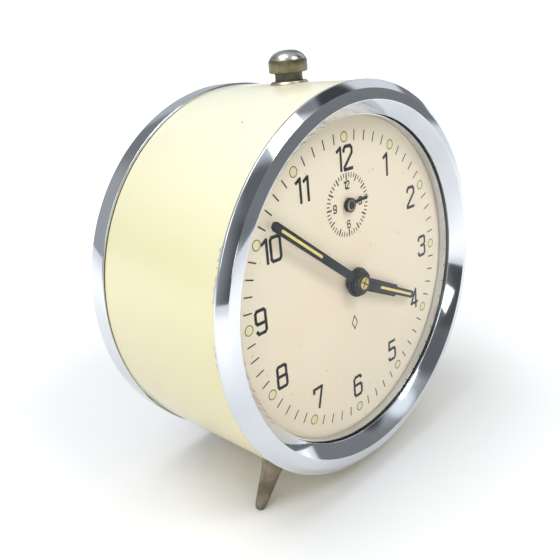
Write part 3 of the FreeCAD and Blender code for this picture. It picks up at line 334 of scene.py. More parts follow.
def enamel():
    """Old cream enamel: mottled, specked and chipped in front, with painted light at the top and painted
    shade low down.
    """
    paint = Paint("cream_enamel", rough=0.24, coat=0.35)
    broad = paint.noise(14.0, 3.0)
    cloud = paint.ramp(broad, [(0.30, (0.725, 0.69, 0.40)), (0.70, (0.77, 0.745, 0.465))])
    low = paint.add("ShaderNodeSeparateXYZ")
    paint.link(paint.where, low.inputs["Vector"])
    height = paint.add("ShaderNodeMapRange")
    height.inputs["From Min"].default_value, height.inputs["From Max"].default_value = LOW_SHADE_HEIGHTS
    paint.link(low.outputs["Z"], height.inputs["Value"])
    # painted shade: the enamel is darker and yellower low down, where the drum faces the floor
    height_shading = paint.mix(height.outputs["Result"], (0.69, 0.60, 0.365), cloud)
    # painted light: the enamel turns pale near the top, as a sheen from the light above
    crown = paint.add("ShaderNodeMapRange", interpolation_type="SMOOTHSTEP")
    crown.inputs["From Min"].default_value, crown.inputs["From Max"].default_value = LIT_TOP_HEIGHTS
    crown.inputs["To Max"].default_value = 0.8
    paint.link(low.outputs["Z"], crown.inputs["Value"])
    height_shading = paint.mix(crown.outputs["Result"], height_shading, (0.90, 0.88, 0.70))
    dots = paint.product(paint.specks(95.0, 0.028), paint.above(paint.noise(31.0, 0.0), 0.55))
    spotted = paint.mix(dots, height_shading, (0.10, 0.08, 0.05))
    depth = paint.add("ShaderNodeVectorMath", operation="DOT_PRODUCT")
    depth.inputs[1].default_value = BACK
    paint.link(paint.where, depth.inputs[0])
    front = CENTRE.dot(BACK) + DRUM_FRONT * MM
    edge = paint.add("ShaderNodeMapRange")
    edge.inputs["From Min"].default_value = front
    edge.inputs["From Max"].default_value = front + CHIP_REACH * MM
    edge.inputs["To Min"].default_value = 1.0
    edge.inputs["To Max"].default_value = 0.0
    paint.link(depth.outputs["Value"], edge.inputs["Value"])
    worn = paint.product(edge.outputs["Result"], paint.noise(520.0, 3.0))
    chips = paint.product(paint.above(worn, 0.44), paint.above(paint.noise(75.0, 1.0), 0.53))
    paint.colour(paint.mix(chips, spotted, (0.50, 0.48, 0.43)))
    paint.roughness(paint.noise(90.0), 0.26, 0.36)
    paint.bump(paint.noise(60.0, 2.0), 0.02, 0.00001)
    return paint.mat


def dial_paint():
    """Matt old dial paint, a little stained."""
    paint = Paint("dial_paint", rough=0.62, spec=0.3)
    broad = paint.ramp(paint.noise(22.0, 4.0), [(0.32, (0.88, 0.75, 0.57)), (0.68, (0.92, 0.82, 0.64))])
    fine = paint.above(paint.noise(620.0, 2.0), 0.73)
    paint.colour(paint.mix(fine, broad, (0.70, 0.57, 0.43)))
    paint.roughness(paint.noise(160.0), 0.55, 0.7)
    paint.bump(paint.noise(900.0, 2.0), 0.05)
    return paint.mat


def flat_ink(name, dark, light, rough=0.55, scale=500.0, spec=0.35):
    """Printing ink or lacquer with slight unevenness."""
    paint = Paint(name, rough=rough, spec=spec)
    paint.colour(paint.ramp(paint.noise(scale), [(0.3, dark), (0.7, light)]))
    paint.bump(paint.noise(scale * 3), 0.04)
    return paint.mat


def window_glass():
    """Thin clear glass that lets lamps through to the dial."""
    mat = bpy.data.materials.new("window_glass")
    mat.use_nodes = True
    tree = mat.node_tree
    shader = tree.nodes["Principled BSDF"]
    shader.inputs["Transmission Weight"].default_value = 1.0
    shader.inputs["IOR"].default_value = 1.18
    shader.inputs["Base Color"].default_value = (0.985, 0.99, 0.985, 1.0)
    coords = tree.nodes.new("ShaderNodeTexCoord")
    smear = tree.nodes.new("ShaderNodeTexNoise")
    smear.inputs["Scale"].default_value = 40.0
    spread = tree.nodes.new("ShaderNodeMapRange")
    spread.inputs["To Min"].default_value = 0.0
    spread.inputs["To Max"].default_value = 0.02
    tree.links.new(coords.outputs["Object"], smear.inputs["Vector"])
    tree.links.new(smear.outputs["Fac"], spread.inputs["Value"])
    tree.links.new(spread.outputs["Result"], shader.inputs["Roughness"])
    clear = tree.nodes.new("ShaderNodeBsdfTransparent")
    path = tree.nodes.new("ShaderNodeLightPath")
    mix = tree.nodes.new("ShaderNodeMixShader")
    tree.links.new(path.outputs["Is Shadow Ray"], mix.inputs["Fac"])
    tree.links.new(shader.outputs["BSDF"], mix.inputs[1])
    tree.links.new(clear.outputs["BSDF"], mix.inputs[2])
    tree.links.new(mix.outputs["Shader"], tree.nodes["Material Output"].inputs["Surface"])
    return mat


MATERIALS = {
    "cream_enamel": enamel(),
    "chrome": metal("chrome_plate", (0.60, 0.62, 0.655), (0.69, 0.715, 0.745), 0.045, 45.0, 0.05, 0.02),
    "nickel": metal("worn_nickel", (0.30, 0.25, 0.17), (0.56, 0.51, 0.42), 0.26, 160.0, 0.16, 0.10),
    "window": window_glass(),
    "dial_paint": dial_paint(),
    "hand_black": flat_ink("hand_lacquer", (0.008, 0.010, 0.013), (0.020, 0.024, 0.029), 0.40, 500.0, 0.16),
    "brass": metal("brass", (0.62, 0.44, 0.16), (0.80, 0.62, 0.28), 0.22, 120.0, 0.12, 0.05),
    "steel": metal("steel", (0.42, 0.43, 0.44), (0.62, 0.62, 0.62), 0.24, 110.0, 0.14, 0.06),
    "spring_steel": metal("blued_steel", (0.10, 0.13, 0.22), (0.26, 0.30, 0.40), 0.20, 140.0, 0.10, 0.05),
}
BUTTON_TOP = metal("button_top", (0.34, 0.33, 0.30), (0.66, 0.65, 0.62), 0.16, 150.0, 0.14, 0.08)
BUTTON_BAND = metal("button_band", (0.10, 0.085, 0.045), (0.30, 0.27, 0.17), 0.30, 220.0, 0.16, 0.10)
BUTTON_WAIST = metal("button_waist", (0.05, 0.044, 0.034), (0.19, 0.17, 0.13), 0.34, 220.0, 0.16, 0.10)
COVER_STEEL = metal("cover_steel", (0.50, 0.505, 0.51), (0.58, 0.585, 0.58), 0.30, 45.0, 0.10, 0.03)
ALARM_CAP = metal("alarm_cap_brass", (0.22, 0.18, 0.11), (0.46, 0.40, 0.28), 0.34, 400.0, 0.16, 0.10)
FOOT_METAL = metal("foot_metal", (0.13, 0.105, 0.075), (0.40, 0.345, 0.27), 0.30, 170.0, 0.16, 0.10)
HAND_CAP = metal("hand_cap_brass", (0.50, 0.38, 0.12), (0.74, 0.60, 0.28), 0.30, 400.0, 0.16, 0.10)
# painted shade for the gap between the drum and the rear ring
SEAM_SHADE = flat_ink("seam_painted_shade", (0.020, 0.018, 0.013), (0.060, 0.050, 0.035), 0.7, 300.0)
PRINT = flat_ink("dial_print", (0.014, 0.015, 0.016), (0.040, 0.040, 0.038), 0.6, 500.0, 0.12)
DOT_RING = flat_ink("dot_outline", (0.060, 0.060, 0.030), (0.11, 0.11, 0.06))
LUME = flat_ink("luminous_paint", (0.80, 0.70, 0.38), (0.88, 0.79, 0.48), 0.6, 700.0)
HAND_LUME = flat_ink("hand_lume", (0.72, 0.62, 0.16), (0.84, 0.76, 0.27), 0.6, 700.0)
SLOT_OF = {sub["node"]: sub["material_slot"] for sub in frame["record"]["subparts"]}


def finish_with(obj, material):
    """Gives a piece its material."""
    obj.data.materials.clear()
    obj.data.materials.append(material)
    return obj


# ---------------------------------------------------------------- case

def case_pieces():
    """Drum, bezel, rear ring and glass, finer than the CAD's and on the same sizes."""
    drum_in = DRUM_RAD - DRUM_THICK
    drum = ring_piece("drum_shell", [(DRUM_RAD, DRUM_FRONT), (DRUM_RAD, DRUM_BACK), (drum_in, DRUM_BACK),
                                     (drum_in, DRUM_FRONT)], "case", edge=0.25)
    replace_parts(finish_with(drum, MATERIALS["cream_enamel"]), "case_drum")
    skirt = drum_in - SKIRT_GAP
    skirt_in = skirt - SKIRT_THICK
    lip = BEVEL_BACK + BEZEL_LIP
    seat_rad, seat_front, seat_back = GLASS_SEAT
    bezel = ring_piece("bezel_ring", [
        (FACE_IN_RAD, -NOSE), (BEZEL_FRONT_RAD, 0.0), (BEZEL_RAD, BEVEL_BACK), (BEZEL_RAD, lip), (skirt, lip),
        (skirt, SKIRT_BACK), (skirt_in, SKIRT_BACK), (skirt_in, seat_back), (seat_rad, seat_back),
        (seat_rad, seat_front), (WINDOW_RAD, seat_front), (WINDOW_RAD, WINDOW_FRONT)], "case", edge=0.16)
    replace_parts(finish_with(bezel, MATERIALS["chrome"]), "front_bezel")
    ring_in, seat_out = COVER_SEAT_RADII
    ring = ring_piece("back_ring", [
        (skirt, RING_SKIRT_FRONT), (skirt, RING_FRONT), (RING_RAD, RING_FRONT), (RING_RAD, CASE_BACK - 0.4),
        (RING_RAD - 0.4, CASE_BACK), (seat_out, CASE_BACK), (seat_out, COVER_SEAT), (ring_in, COVER_SEAT),
        (ring_in, RING_SKIRT_FRONT)], "case", edge=0.24)
    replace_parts(finish_with(ring, MATERIALS["chrome"]), "rear_ring")
    # A thin dark ring in the gap between the drum and the rear ring: painted shade.
    seam_in, seam_out = SEAM_RADII
    front, back = DRUM_BACK + 0.02, RING_FRONT - 0.02
    seam = ring_piece("drum_seam", [(seam_in, front), (seam_out, front), (seam_out, back), (seam_in, back)],
                      "case", edge=0.05)
    finish_with(seam, SEAM_SHADE)
    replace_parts(finish_with(glass_dome(), MATERIALS["window"]), "crystal")


def glass_dome():
    """Even dome of glass: outer face, rim and inner face."""
    curve = (GLASS_RAD ** 2 + GLASS_CROWN ** 2) / (2 * GLASS_CROWN)
    centre = GLASS_EDGE - GLASS_CROWN + curve

    def face_depth(radius, ball):
        return centre - math.sqrt(ball ** 2 - radius ** 2)

    steps = 28
    radii = [GLASS_RAD * step / steps for step in range(1, steps + 1)]
    outer = [(radius, face_depth(radius, curve)) for radius in radii]
    inner = [(radius, face_depth(radius, curve - GLASS_THICK)) for radius in reversed(radii)]
    count = 160
    verts = [(0.0, face_depth(0.0, curve), 0.0)]
    rows = outer + inner
    for radius, depth in rows:
        for i in range(count):
            turn = 2 * math.pi * i / count
            verts.append((radius * math.sin(turn), depth, radius * math.cos(turn)))
    verts.append((0.0, face_depth(0.0, curve - GLASS_THICK), 0.0))
    last = len(verts) - 1
    faces = []
    for row in range(len(rows) - 1):
        for i in range(count):
            j = (i + 1) % count
            faces.append((1 + row * count + i, 1 + row * count + j,
                          1 + (row + 1) * count + j, 1 + (row + 1) * count + i))
    for i in range(count):
        j = (i + 1) % count
        faces.append((0, 1 + i, 1 + j))
        faces.append((last, last - count + j, last - count + i))
    return piece("glass_dome", verts, faces, "case")


def dial_disc():
    """The dial's face with a softly turned-back edge, and the polished wall around it."""
    dial_back = DIAL_FRONT + DIAL_THICK
    profile = [(DIAL_HOLE_RAD, DIAL_FRONT), (20.0, DIAL_FRONT), (DIAL_SEEN_RAD - 2.0, DIAL_FRONT),
               (DIAL_SEEN_RAD - 0.8, DIAL_FRONT + 0.05), (DIAL_SEEN_RAD + 0.1, DIAL_FRONT + 0.22),
               (DIAL_RAD, DIAL_FRONT + 0.25), (DIAL_RAD, dial_back), (DIAL_HOLE_RAD, dial_back)]
    verts, faces = lathe_grid(profile, 200)
    disc = piece("dial_disc", verts, faces, "case")
    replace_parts(finish_with(disc, MATERIALS["dial_paint"]), "dial")
    front, back = WALL_DEPTHS
    wall = ring_piece("dial_wall", [(DIAL_SEEN_RAD, front), (WALL_RAD, front), (WALL_RAD, back),
                                    (DIAL_SEEN_RAD, back)], "case", edge=0.1)
    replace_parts(finish_with(wall, MATERIALS["chrome"]), "dial_spacer_ring")


# ---------------------------------------------------------------- dial print

class Print:
    """Collects flat shapes lying just in front of the dial, then makes them one piece."""

    def __init__(self, depth):
        self.depth = depth
        self.thick = 0.012
        self.verts = []
        self.faces = []

    def slab(self, outline):
        """A thin prism over an (x, z) outline."""
        first = len(self.verts)
        count = len(outline)
        for depth in (self.depth - self.thick, self.depth):
            self.verts += [(x, depth, z) for x, z in outline]
        self.faces.append(tuple(range(first, first + count)))
        self.faces.append(tuple(range(first + 2 * count - 1, first + count - 1, -1)))
        for i in range(count):
            j = (i + 1) % count
            self.faces.append((first + i, first + j, first + count + j, first + count + i))

    def stroke(self, start, end, wide, grow=0.0):
        """A straight stroke, lengthened by grow at both ends."""
        run = Vector((end[0] - start[0], end[1] - start[1]))
        way = run.normalized()
        side = Vector((-way.y, way.x)) * wide / 2
        a = Vector(start) - way * grow
        b = Vector(end) + way * grow
        self.slab([tuple(a + side), tuple(a - side), tuple(b - side), tuple(b + side)])

    def ring(self, centre, outer, inner, count=28):
        """A flat ring, or a disc if inner is 0."""
        turns = [2 * math.pi * i / count for i in range(count)]

        def circle(radius):
            return [(centre[0] + radius * math.cos(turn), centre[1] + radius * math.sin(turn))
                    for turn in turns]

        if inner <= 0:
            self.slab(circle(outer))
            return
        out, inn = circle(outer), circle(inner)
        for i in range(count):
            j = (i + 1) % count
            self.slab([out[i], out[j], inn[j], inn[i]])

    def make(self, name, body, material):
        """Makes one piece of all that was drawn."""
        finish_with(piece(name, self.verts, self.faces, body, 30.0), material)


# Each digit is strokes on a grid GLYPH_WIDE by GLYPH_TALL, with clipped corners.
GLYPHS = {
    "0": [[(0.6, 0), (3.4, 0), (4, 0.6), (4, 5.4), (3.4, 6), (0.6, 6), (0, 5.4), (0, 0.6), (0.6, 0)]],
    "1": [[(0.6, 5.1), (2, 6), (2, 0)]],
    "2": [[(0, 4.8), (0, 5.3), (0.7, 6), (3.3, 6), (4, 5.3), (4, 4.1), (0, 0.6), (0, 0), (4, 0)]],
    "3": [[(0, 5.0), (0, 5.4), (0.6, 6), (3.4, 6), (4, 5.4), (4, 3.8), (3.4, 3.15), (1.5, 3.15)],
          [(3.4, 3.15), (4, 2.5), (4, 0.6), (3.4, 0), (0.6, 0), (0, 0.6), (0, 1.0)]],
    "4": [[(3, 0), (3, 6), (0, 1.6), (4, 1.6)]],
    "5": [[(3.8, 6), (0.4, 6), (0.3, 3.5), (3.3, 3.6), (4, 2.9), (4, 0.7), (3.3, 0), (0.7, 0), (0, 0.7)]],
    "6": [[(3.9, 5.3), (3.3, 6), (0.7, 6), (0, 5.3), (0, 0.7), (0.7, 0), (3.3, 0), (4, 0.7), (4, 2.8),
           (3.3, 3.4), (0.2, 3.4)]],
    "7": [[(0, 4.9), (0, 6), (4, 6), (2.0, 0)]],
    "8": [[(0.5, 0), (3.5, 0), (4, 0.5), (4, 2.7), (3.5, 3.15), (0.5, 3.15), (0, 2.7), (0, 0.5), (0.5, 0)],
          [(3.5, 3.15), (3.9, 3.6), (3.9, 5.5), (3.4, 6), (0.6, 6), (0.1, 5.5), (0.1, 3.6), (0.5, 3.15)]],
    "9": [[(0.1, 0.7), (0.7, 0), (3.3, 0), (4, 0.6), (4, 5.4), (3.4, 6), (0.6, 6), (0, 5.4), (0, 3.2),
           (0.6, 2.6), (3.8, 2.6)]],
}
GLYPH_WIDE, GLYPH_TALL = 4.0, 6.0
ONE_LEFT, ONE_WIDE = 0.6, 1.4  # the part of the grid that the 1 fills
ONE_SHARE = 0.45  # the 1's width beside the other digits'
STROKE_GROW = 0.32  # how far a stroke runs past its ends, in line widths


def write_number(ink, text, centre, tall, wide, line, gap):
    """Draws a number upright, centred on a point."""
    widths = [ONE_SHARE * wide if digit == "1" else wide for digit in text]
    total = sum(widths) + gap * (len(text) - 1)
    left = centre[0] - total / 2
    for digit, across in zip(text, widths):
        for path in GLYPHS[digit]:
            scale = across / (ONE_WIDE if digit == "1" else GLYPH_WIDE)
            base = ONE_LEFT if digit == "1" else 0.0
            points = [(left + (px - base) * scale, centre[1] + (pz / GLYPH_TALL - 0.5) * tall)
                      for px, pz in path]
            for start, end in zip(points, points[1:]):
                ink.stroke(start, end, line, line * STROKE_GROW)
        left += across + gap


def around(turn_deg, reach, middle=(0.0, 0.0)):
    """A point at a clock angle, clockwise from the twelve."""
    turn = math.radians(turn_deg)
    return middle[0] + reach * math.sin(turn), middle[1] + reach * math.cos(turn)


NUMERAL_TALL = 5.8
NUMERAL_WIDE = 3.2
NUMERAL_LINE = 0.86
NUMERAL_UP_REACH = 32.4
NUMERAL_SIDE_REACH = 34.0
# How far each numeral sits from its place on the even circle: right and up, in mm.
NUMERAL_SHIFT = {
    1: (0.3, -0.5), 2: (-0.7, -0.2), 3: (-0.3, 0.5), 4: (-0.2, 1.8), 5: (0.0, 1.2), 6: (-0.2, 0.6),
    7: (-0.3, 0.9), 8: (-0.2, 1.0), 9: (-0.5, 0.8), 10: (0.5, 0.0), 11: (-0.1, -0.3), 12: (-0.2, 0.7),
}
NUMERAL_GAP = 1.3
DOT_REACH = 38.53
DOT_RAD = 1.38
DOT_LINE = 0.24
TICK_IN, TICK_OUT = 37.2, 39.9
TICK_WIDE = 0.36
SUB_TICK_RAD = 8.4
SUB_TICKS = 48
SUB_TICK_LONG, SUB_TICK_MIDDLE, SUB_TICK_SHORT = 1.9, 1.4, 1.1
SUB_TICK_BOLD, SUB_TICK_FINE = 0.42, 0.30
SUB_NUMERAL_REACH = 5.2
SUB_NUMERAL = (1.9, 1.05, 0.38, 0.4)  # height, width, line and gap
LOZENGE_Z = -12.2
LOZENGE_TALL, LOZENGE_WIDE = 2.0, 1.1  # half sizes
LOZENGE_LINE = 0.32


def dial_print():
    """Hour numerals, minute ticks, hour dots, the alarm dial and a plain lozenge."""
    ink = Print(DIAL_FRONT - PRINT_LIFT)
    for hour in range(1, 13):
        turn = 30.0 * hour
        sideways = abs(math.sin(math.radians(turn)))
        reach = NUMERAL_UP_REACH + (NUMERAL_SIDE_REACH - NUMERAL_UP_REACH) * sideways
        spot = around(turn, reach)
        right, up = NUMERAL_SHIFT[hour]
        write_number(ink, str(hour), (spot[0] + right, spot[1] + up), NUMERAL_TALL, NUMERAL_WIDE,
                     NUMERAL_LINE, NUMERAL_GAP)
    for minute in range(60):
        if minute % 5:
            ink.stroke(around(6.0 * minute, TICK_IN), around(6.0 * minute, TICK_OUT), TICK_WIDE)
    sub = (0.0, SUBDIAL_UP)
    for step in range(SUB_TICKS):
        turn = 360.0 / SUB_TICKS * step
        long_one = step % 4 == 0
        length = SUB_TICK_LONG if long_one else (SUB_TICK_MIDDLE if step % 2 == 0 else SUB_TICK_SHORT)
        ink.stroke(around(turn, SUB_TICK_RAD, sub), around(turn, SUB_TICK_RAD - length, sub),
                   SUB_TICK_BOLD if long_one else SUB_TICK_FINE)
    for text, turn in (("12", 0), ("3", 90), ("6", 180), ("9", 270)):
        write_number(ink, text, around(turn, SUB_NUMERAL_REACH, sub), *SUB_NUMERAL)
    corners = [(0.0, LOZENGE_Z + LOZENGE_TALL), (LOZENGE_WIDE, LOZENGE_Z),
               (0.0, LOZENGE_Z - LOZENGE_TALL), (-LOZENGE_WIDE, LOZENGE_Z)]
    for i in range(4):
        ink.stroke(corners[i], corners[(i + 1) % 4], LOZENGE_LINE, 0.10)
    ink.make("dial_print", "case", PRINT)
    rings = Print(DIAL_FRONT - PRINT_LIFT)
    fills = Print(DIAL_FRONT - PRINT_LIFT * 0.8)
    for hour in range(12):
        spot = around(30.0 * hour, DOT_REACH)
        rings.ring(spot, DOT_RAD, DOT_RAD - DOT_LINE)
        fills.ring(spot, DOT_RAD - DOT_LINE + 0.02, 0)
    rings.make("dot_rings", "case", DOT_RING)
    fills.make("dot_fills", "case", LUME)


# ---------------------------------------------------------------- hands

MINUTE_LUME = (3.51, 18.6, 35.4, 0.36)  # depth, start, end and half width
HOUR_LUME = (4.61, 11.0, 27.2, 0.37)
LUME_TAPER = 0.3
LUME_THICK = 0.07
CAP_SLOT_DEPTH = 2.31
CAP_SLOT_TURNS = (35.0, 125.0)


def lume_strip(name, body, degrees, front, start, end, half):
    """A raised bead of luminous paint along a hand."""
    along = around(degrees, 1.0)
    side = (along[1], -along[0])
    edge = [(start, half * 0.6), (start + LUME_TAPER, half), (end - LUME_TAPER, half), (end, half * 0.6)]
    outline = []
    for reach, width in edge:
        outline.append((along[0] * reach + side[0] * width, along[1] * reach + side[1] * width))
    for reach, width in reversed(edge):
        outline.append((along[0] * reach - side[0] * width, along[1] * reach - side[1] * width))
    strip = Print(front)
    strip.thick = LUME_THICK
    strip.slab(outline)
    strip.make(name, body, HAND_LUME)


def hands():
    """Luminous strips, the cap with its slots drawn as painted shade, two dark discs and the alarm hand's
    cap, as (radius, depth) rings.
    """
    lume_strip("minute_lume", "minute_hand_arbor", MINUTE_HAND_DEG, *MINUTE_LUME)
    lume_strip("hour_lume", "hour", HOUR_HAND_DEG, *HOUR_LUME)
    cap = ring_piece("hand_cap", [(0.3, 2.30), (1.6, 2.32), (2.1, 2.55), (2.15, 3.32), (0.3, 3.32)],
                     "minute_hand_arbor", 48, edge=0.12)
    finish_with(cap, HAND_CAP)
    # painted shade: dark strokes on the cap's face stand for the shade in its two slots
    slot = Print(CAP_SLOT_DEPTH)
    slot.thick = 0.03
    for turn in CAP_SLOT_TURNS:
        slot.stroke(around(turn, 1.5), around(turn + 180.0, 1.5), 0.34)
    slot.make("hand_cap_slot_shade", "minute_hand_arbor", PRINT)
    rim = ring_piece("hand_disc", [(2.15, 2.95), (3.1, 2.98), (3.4, 3.15), (3.4, 3.34), (2.15, 3.34)],
                     "minute_hand_arbor", 64, edge=0.05)
    finish_with(rim, MATERIALS["hand_black"])
    hub = ring_piece("hour_hub_rim", [(3.0, 4.28), (3.8, 4.28), (4.0, 4.42), (4.0, 4.6), (3.0, 4.6)],
                     "hour", 64, edge=0.05)
    finish_with(hub, MATERIALS["hand_black"])
    centre = ring_piece("alarm_cap", [(0.1, 5.22), (1.2, 5.22), (1.55, 5.34), (1.55, 5.42), (0.1, 5.42)],
                        "alarm_setter", 32, middle=(0.0, SUBDIAL_UP), edge=0.04)
    finish_with(centre, ALARM_CAP)


# ---------------------------------------------------------------- button and feet

BAND_LIFT = 0.65  # the band's height over the drum when the button is pressed
BAND_TALL = 3.2
DOME_TALL = 2.4
DOME_RAD = 4.86
DOME_START = math.radians(20.0)
DOME_STEPS = 12


def button():
    """Polished domed top, an olive-brown band and a darker waist, over the flared collar."""
    band = DRUM_RAD + BUTTON_TRAVEL + BAND_LIFT
    shoulder = band + BAND_TALL
    dome = [(DOME_RAD, shoulder)]
    for step in range(1, DOME_STEPS + 1):
        turn = DOME_START + (math.pi / 2 - DOME_START) * step / DOME_STEPS
        across = DOME_RAD * (math.cos(turn) / math.cos(DOME_START)) ** 0.8
        rise = (math.sin(turn) - math.sin(DOME_START)) / (1.0 - math.sin(DOME_START))
        dome.append((across + 0.0001, shoulder + (DOME_TALL - 0.01) * rise))
    crown = post_piece("button_crown", [(3.0, shoulder)] + dome, "button")
    finish_with(crown, BUTTON_TOP)
    rim = [(4.5, band), (4.85, band + 0.12), (5.03, band + 0.4), (5.03, band + 2.8), (4.97, band + 3.08),
           (DOME_RAD, shoulder)]
    finish_with(post_piece("button_rim", rim, "button"), BUTTON_BAND)
    # The stem, the flange that keeps it in the collar, and the waist.
    stem = [(2.0, 43.6), (2.0, 47.6), (4.2, 47.6), (4.2, 48.2), (2.0, 48.2), (2.0, 51.2), (3.6, 51.2),
            (3.7, 51.3), (3.55, band - 0.5), (3.75, band)]
    shank = post_piece("button_body", stem, "button")
    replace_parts(finish_with(shank, BUTTON_WAIST), "stop_button")


# Each station down a foot: distance from the drum's axis, width and depth.
FOOT_STATIONS = [
    (51.45, 6.3, 5.3), (52.6, 6.4, 5.4), (54.3, 6.2, 5.2), (54.9, 5.9, 4.95), (55.15, 5.5, 4.7),
    (57.5, 4.95, 4.25), (60.0, 4.4, 3.75), (62.5, 3.8, 3.2), (64.4, 3.3, 2.75), (65.5, 2.9, 2.4),
    (66.15, 2.3, 1.9), (66.45, 1.3, 1.1),
]
FOOT_CORNER = 0.78  # below 1, a section is squarer than an oval
# The scene's upward direction, in the clock's own axes.
UP_IN_CLOCK = CLOCK.to_3x3().inverted() @ Vector((0, 0, 1))


def foot_piece(name, side, node):
    """Tapered foot with a shoulder at the drum, a soft ridge down its front and a rounded tip."""
    angle = math.radians(FOOT_DEG)
    out = Vector((side * math.sin(angle), 0.0, -math.cos(angle)))
    depth = Vector((0.0, 1.0, 0.0))
    across = depth.cross(out)
    middle = Vector((0.0, FOOT_BACK, 0.0))
    count = 40
    verts = []
    for reach, wide, deep in FOOT_STATIONS:
        for i in range(count):
            turn = 2 * math.pi * i / count
            cos, sin = math.cos(turn), math.sin(turn)
            ridge = 1.0 + 0.10 * math.exp(-(cos / 0.22) ** 2) * (sin < 0)
            x = math.copysign(abs(cos) ** FOOT_CORNER, cos) * wide / 2
            y = math.copysign(abs(sin) ** FOOT_CORNER, sin) * deep / 2 * ridge
            verts.append(middle + out * reach + across * x + depth * y)
    for i, vert in enumerate(verts):
        below = -at(*vert).z
        if below > 0:
            verts[i] = vert + Vector((0.0, UP_IN_CLOCK.y, UP_IN_CLOCK.z)) * below / MM
    faces = []
    last = (len(FOOT_STATIONS) - 1) * count
    for first in range(0, last, count):
        for i in range(count):
            j = (i + 1) % count
            faces.append((first + i, first + j, first + count + j, first + count + i))
    faces.append(tuple(reversed(range(count))))
    faces.append(tuple(range(last, last + count)))
    obj = piece(name, [tuple(v) for v in verts], faces, "case", 40.0)
    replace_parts(finish_with(obj, FOOT_METAL), node)


# ---------------------------------------------------------------- carried-over CAD nodes

REPLACED = {"case_drum", "front_bezel", "rear_ring", "crystal", "dial", "dial_spacer_ring", "stop_button",
            "left_foot", "right_foot"}
SLIGHT_BEVEL = {"time_key": 0.25, "alarm_key": 0.25, "hand_set_knob": 0.12, "alarm_set_knob": 0.12,
                "rear_cover": 0.06, "minute_hand": 0.06, "hour_hand": 0.06, "alarm_hand": 0.05}
BEVEL_ANGLE = math.radians(40)
OWN_MATERIAL = {"rear_cover": COVER_STEEL, "screws": MATERIALS["nickel"]}


def dress_nodes():
    """Gives every CAD node that stays its slot's material, and visible ones softer edges."""
    for node, obj in frame["nodes"].items():
        if node in REPLACED:
            continue
        obj.data.materials.clear()
        obj.data.materials.append(OWN_MATERIAL.get(node, MATERIALS[SLOT_OF[node]]))
        if node in SLIGHT_BEVEL:
            bevel = obj.modifiers.new("soft_edges", "BEVEL")
            bevel.width = SLIGHT_BEVEL[node] * MM
            bevel.segments = 2
            bevel.limit_method = "ANGLE"
            bevel.angle_limit = BEVEL_ANGLE


# ---------------------------------------------------------------- stage, light, camera

# The camera's place in mm, and the picture's right and down, in the clock's own axes.
CAMERA_AT = (-131.65, -101.4, 62.25)
CAMERA_RIGHT = (0.6914, -0.7167, -0.0913)
CAMERA_DOWN = (-0.3016, -0.1715, -0.9379)
CAMERA_LENS = 42.87


def clock_way(vector):
    """A direction in the clock's own axes, in the scene."""
    return (CLOCK.to_3x3() @ Vector(vector)).normalized()


def camera():
    """The view from the front left and above."""
    data = bpy.data.cameras.new("camera")
    data.lens = CAMERA_LENS
    data.sensor_width = 36.0
    data.clip_start = 0.005
    obj = bpy.data.objects.new("camera", data)
    bpy.context.scene.collection.objects.link(obj)
    right = clock_way(CAMERA_RIGHT)
    up = -clock_way(CAMERA_DOWN)
    back = right.cross(up).normalized()
    up = back.cross(right).normalized()
    turn = Matrix((right, up, back)).transposed().to_4x4()
    obj.matrix_world = Matrix.Translation(at(*CAMERA_AT)) @ turn
    bpy.context.scene.camera = obj


FLOOR_SIZE = 12.0
FLOOR_SHADE = 0.90
FLOOR_NEAR, FLOOR_FAR = 0.05, 0.30  # metres from the clock where the floor's glow starts and is full
FLOOR_GLOW = 0.55
LAMP_AIM = Vector((0, 0, 0.055))


def stage():
    """A pale floor that stays as pale far from the lamps as near them."""
    bpy.ops.mesh.primitive_plane_add(size=FLOOR_SIZE, location=(0, 0, -0.0001))
    floor = bpy.context.active_object
    floor.name = "floor"
    paint = Paint("floor_white", rough=0.9, spec=0.1)
    shades = [(0.0, (FLOOR_SHADE * 0.99,) * 3), (1.0, (FLOOR_SHADE,) * 3)]
    paint.colour(paint.ramp(paint.noise(3.0), shades))
    reach = paint.add("ShaderNodeVectorMath", operation="LENGTH")
    paint.link(paint.where, reach.inputs[0])
    glow = paint.add("ShaderNodeMapRange", interpolation_type="SMOOTHSTEP")
    glow.inputs["From Min"].default_value = FLOOR_NEAR
    glow.inputs["From Max"].default_value = FLOOR_FAR
    glow.inputs["To Max"].default_value = FLOOR_GLOW
    paint.link(reach.outputs["Value"], glow.inputs["Value"])
    paint.shader.inputs["Emission Color"].default_value = (1.0, 1.0, 1.0, 1.0)
    paint.link(glow.outputs["Result"], paint.shader.inputs["Emission Strength"])
    floor.data.materials.append(paint.mat)


def sky_way(azimuth, elevation):
    """A direction: azimuth in degrees from +X towards +Y, elevation above the floor."""
    turn = math.radians(azimuth)
    rise = math.radians(elevation)
    return Vector((math.cos(rise) * math.cos(turn), math.cos(rise) * math.sin(turn), math.sin(rise)))


def lamp(name, azimuth, elevation, distance, size, power, colour=(1, 1, 1)):
    """A square soft lamp that faces the middle of the clock."""
    data = bpy.data.lights.new(name, "AREA")
    data.energy = power
    data.color = colour
    data.size = size
    way = sky_way(azimuth, elevation)
    obj = bpy.data.objects.new(name, data)
    obj.location = way * distance + LAMP_AIM
    obj.rotation_euler = way.to_track_quat("Z", "Y").to_euler()
    bpy.context.scene.collection.objects.link(obj)


def lights():
    """Azimuth, elevation, distance, size and power of each lamp."""
    lamp("front_box", -78, 56, 0.80, 0.26, 1.25)
    lamp("left_key", 178, 46, 0.85, 0.45, 0.9, (1.0, 0.99, 0.97))
    lamp("front_left", -152, 30, 0.90, 0.40, 0.85)
    lamp("overhead", 150, 70, 0.90, 0.45, 3.3)
    lamp("side_glint", -115, 14, 0.33, 0.06, 0.03)


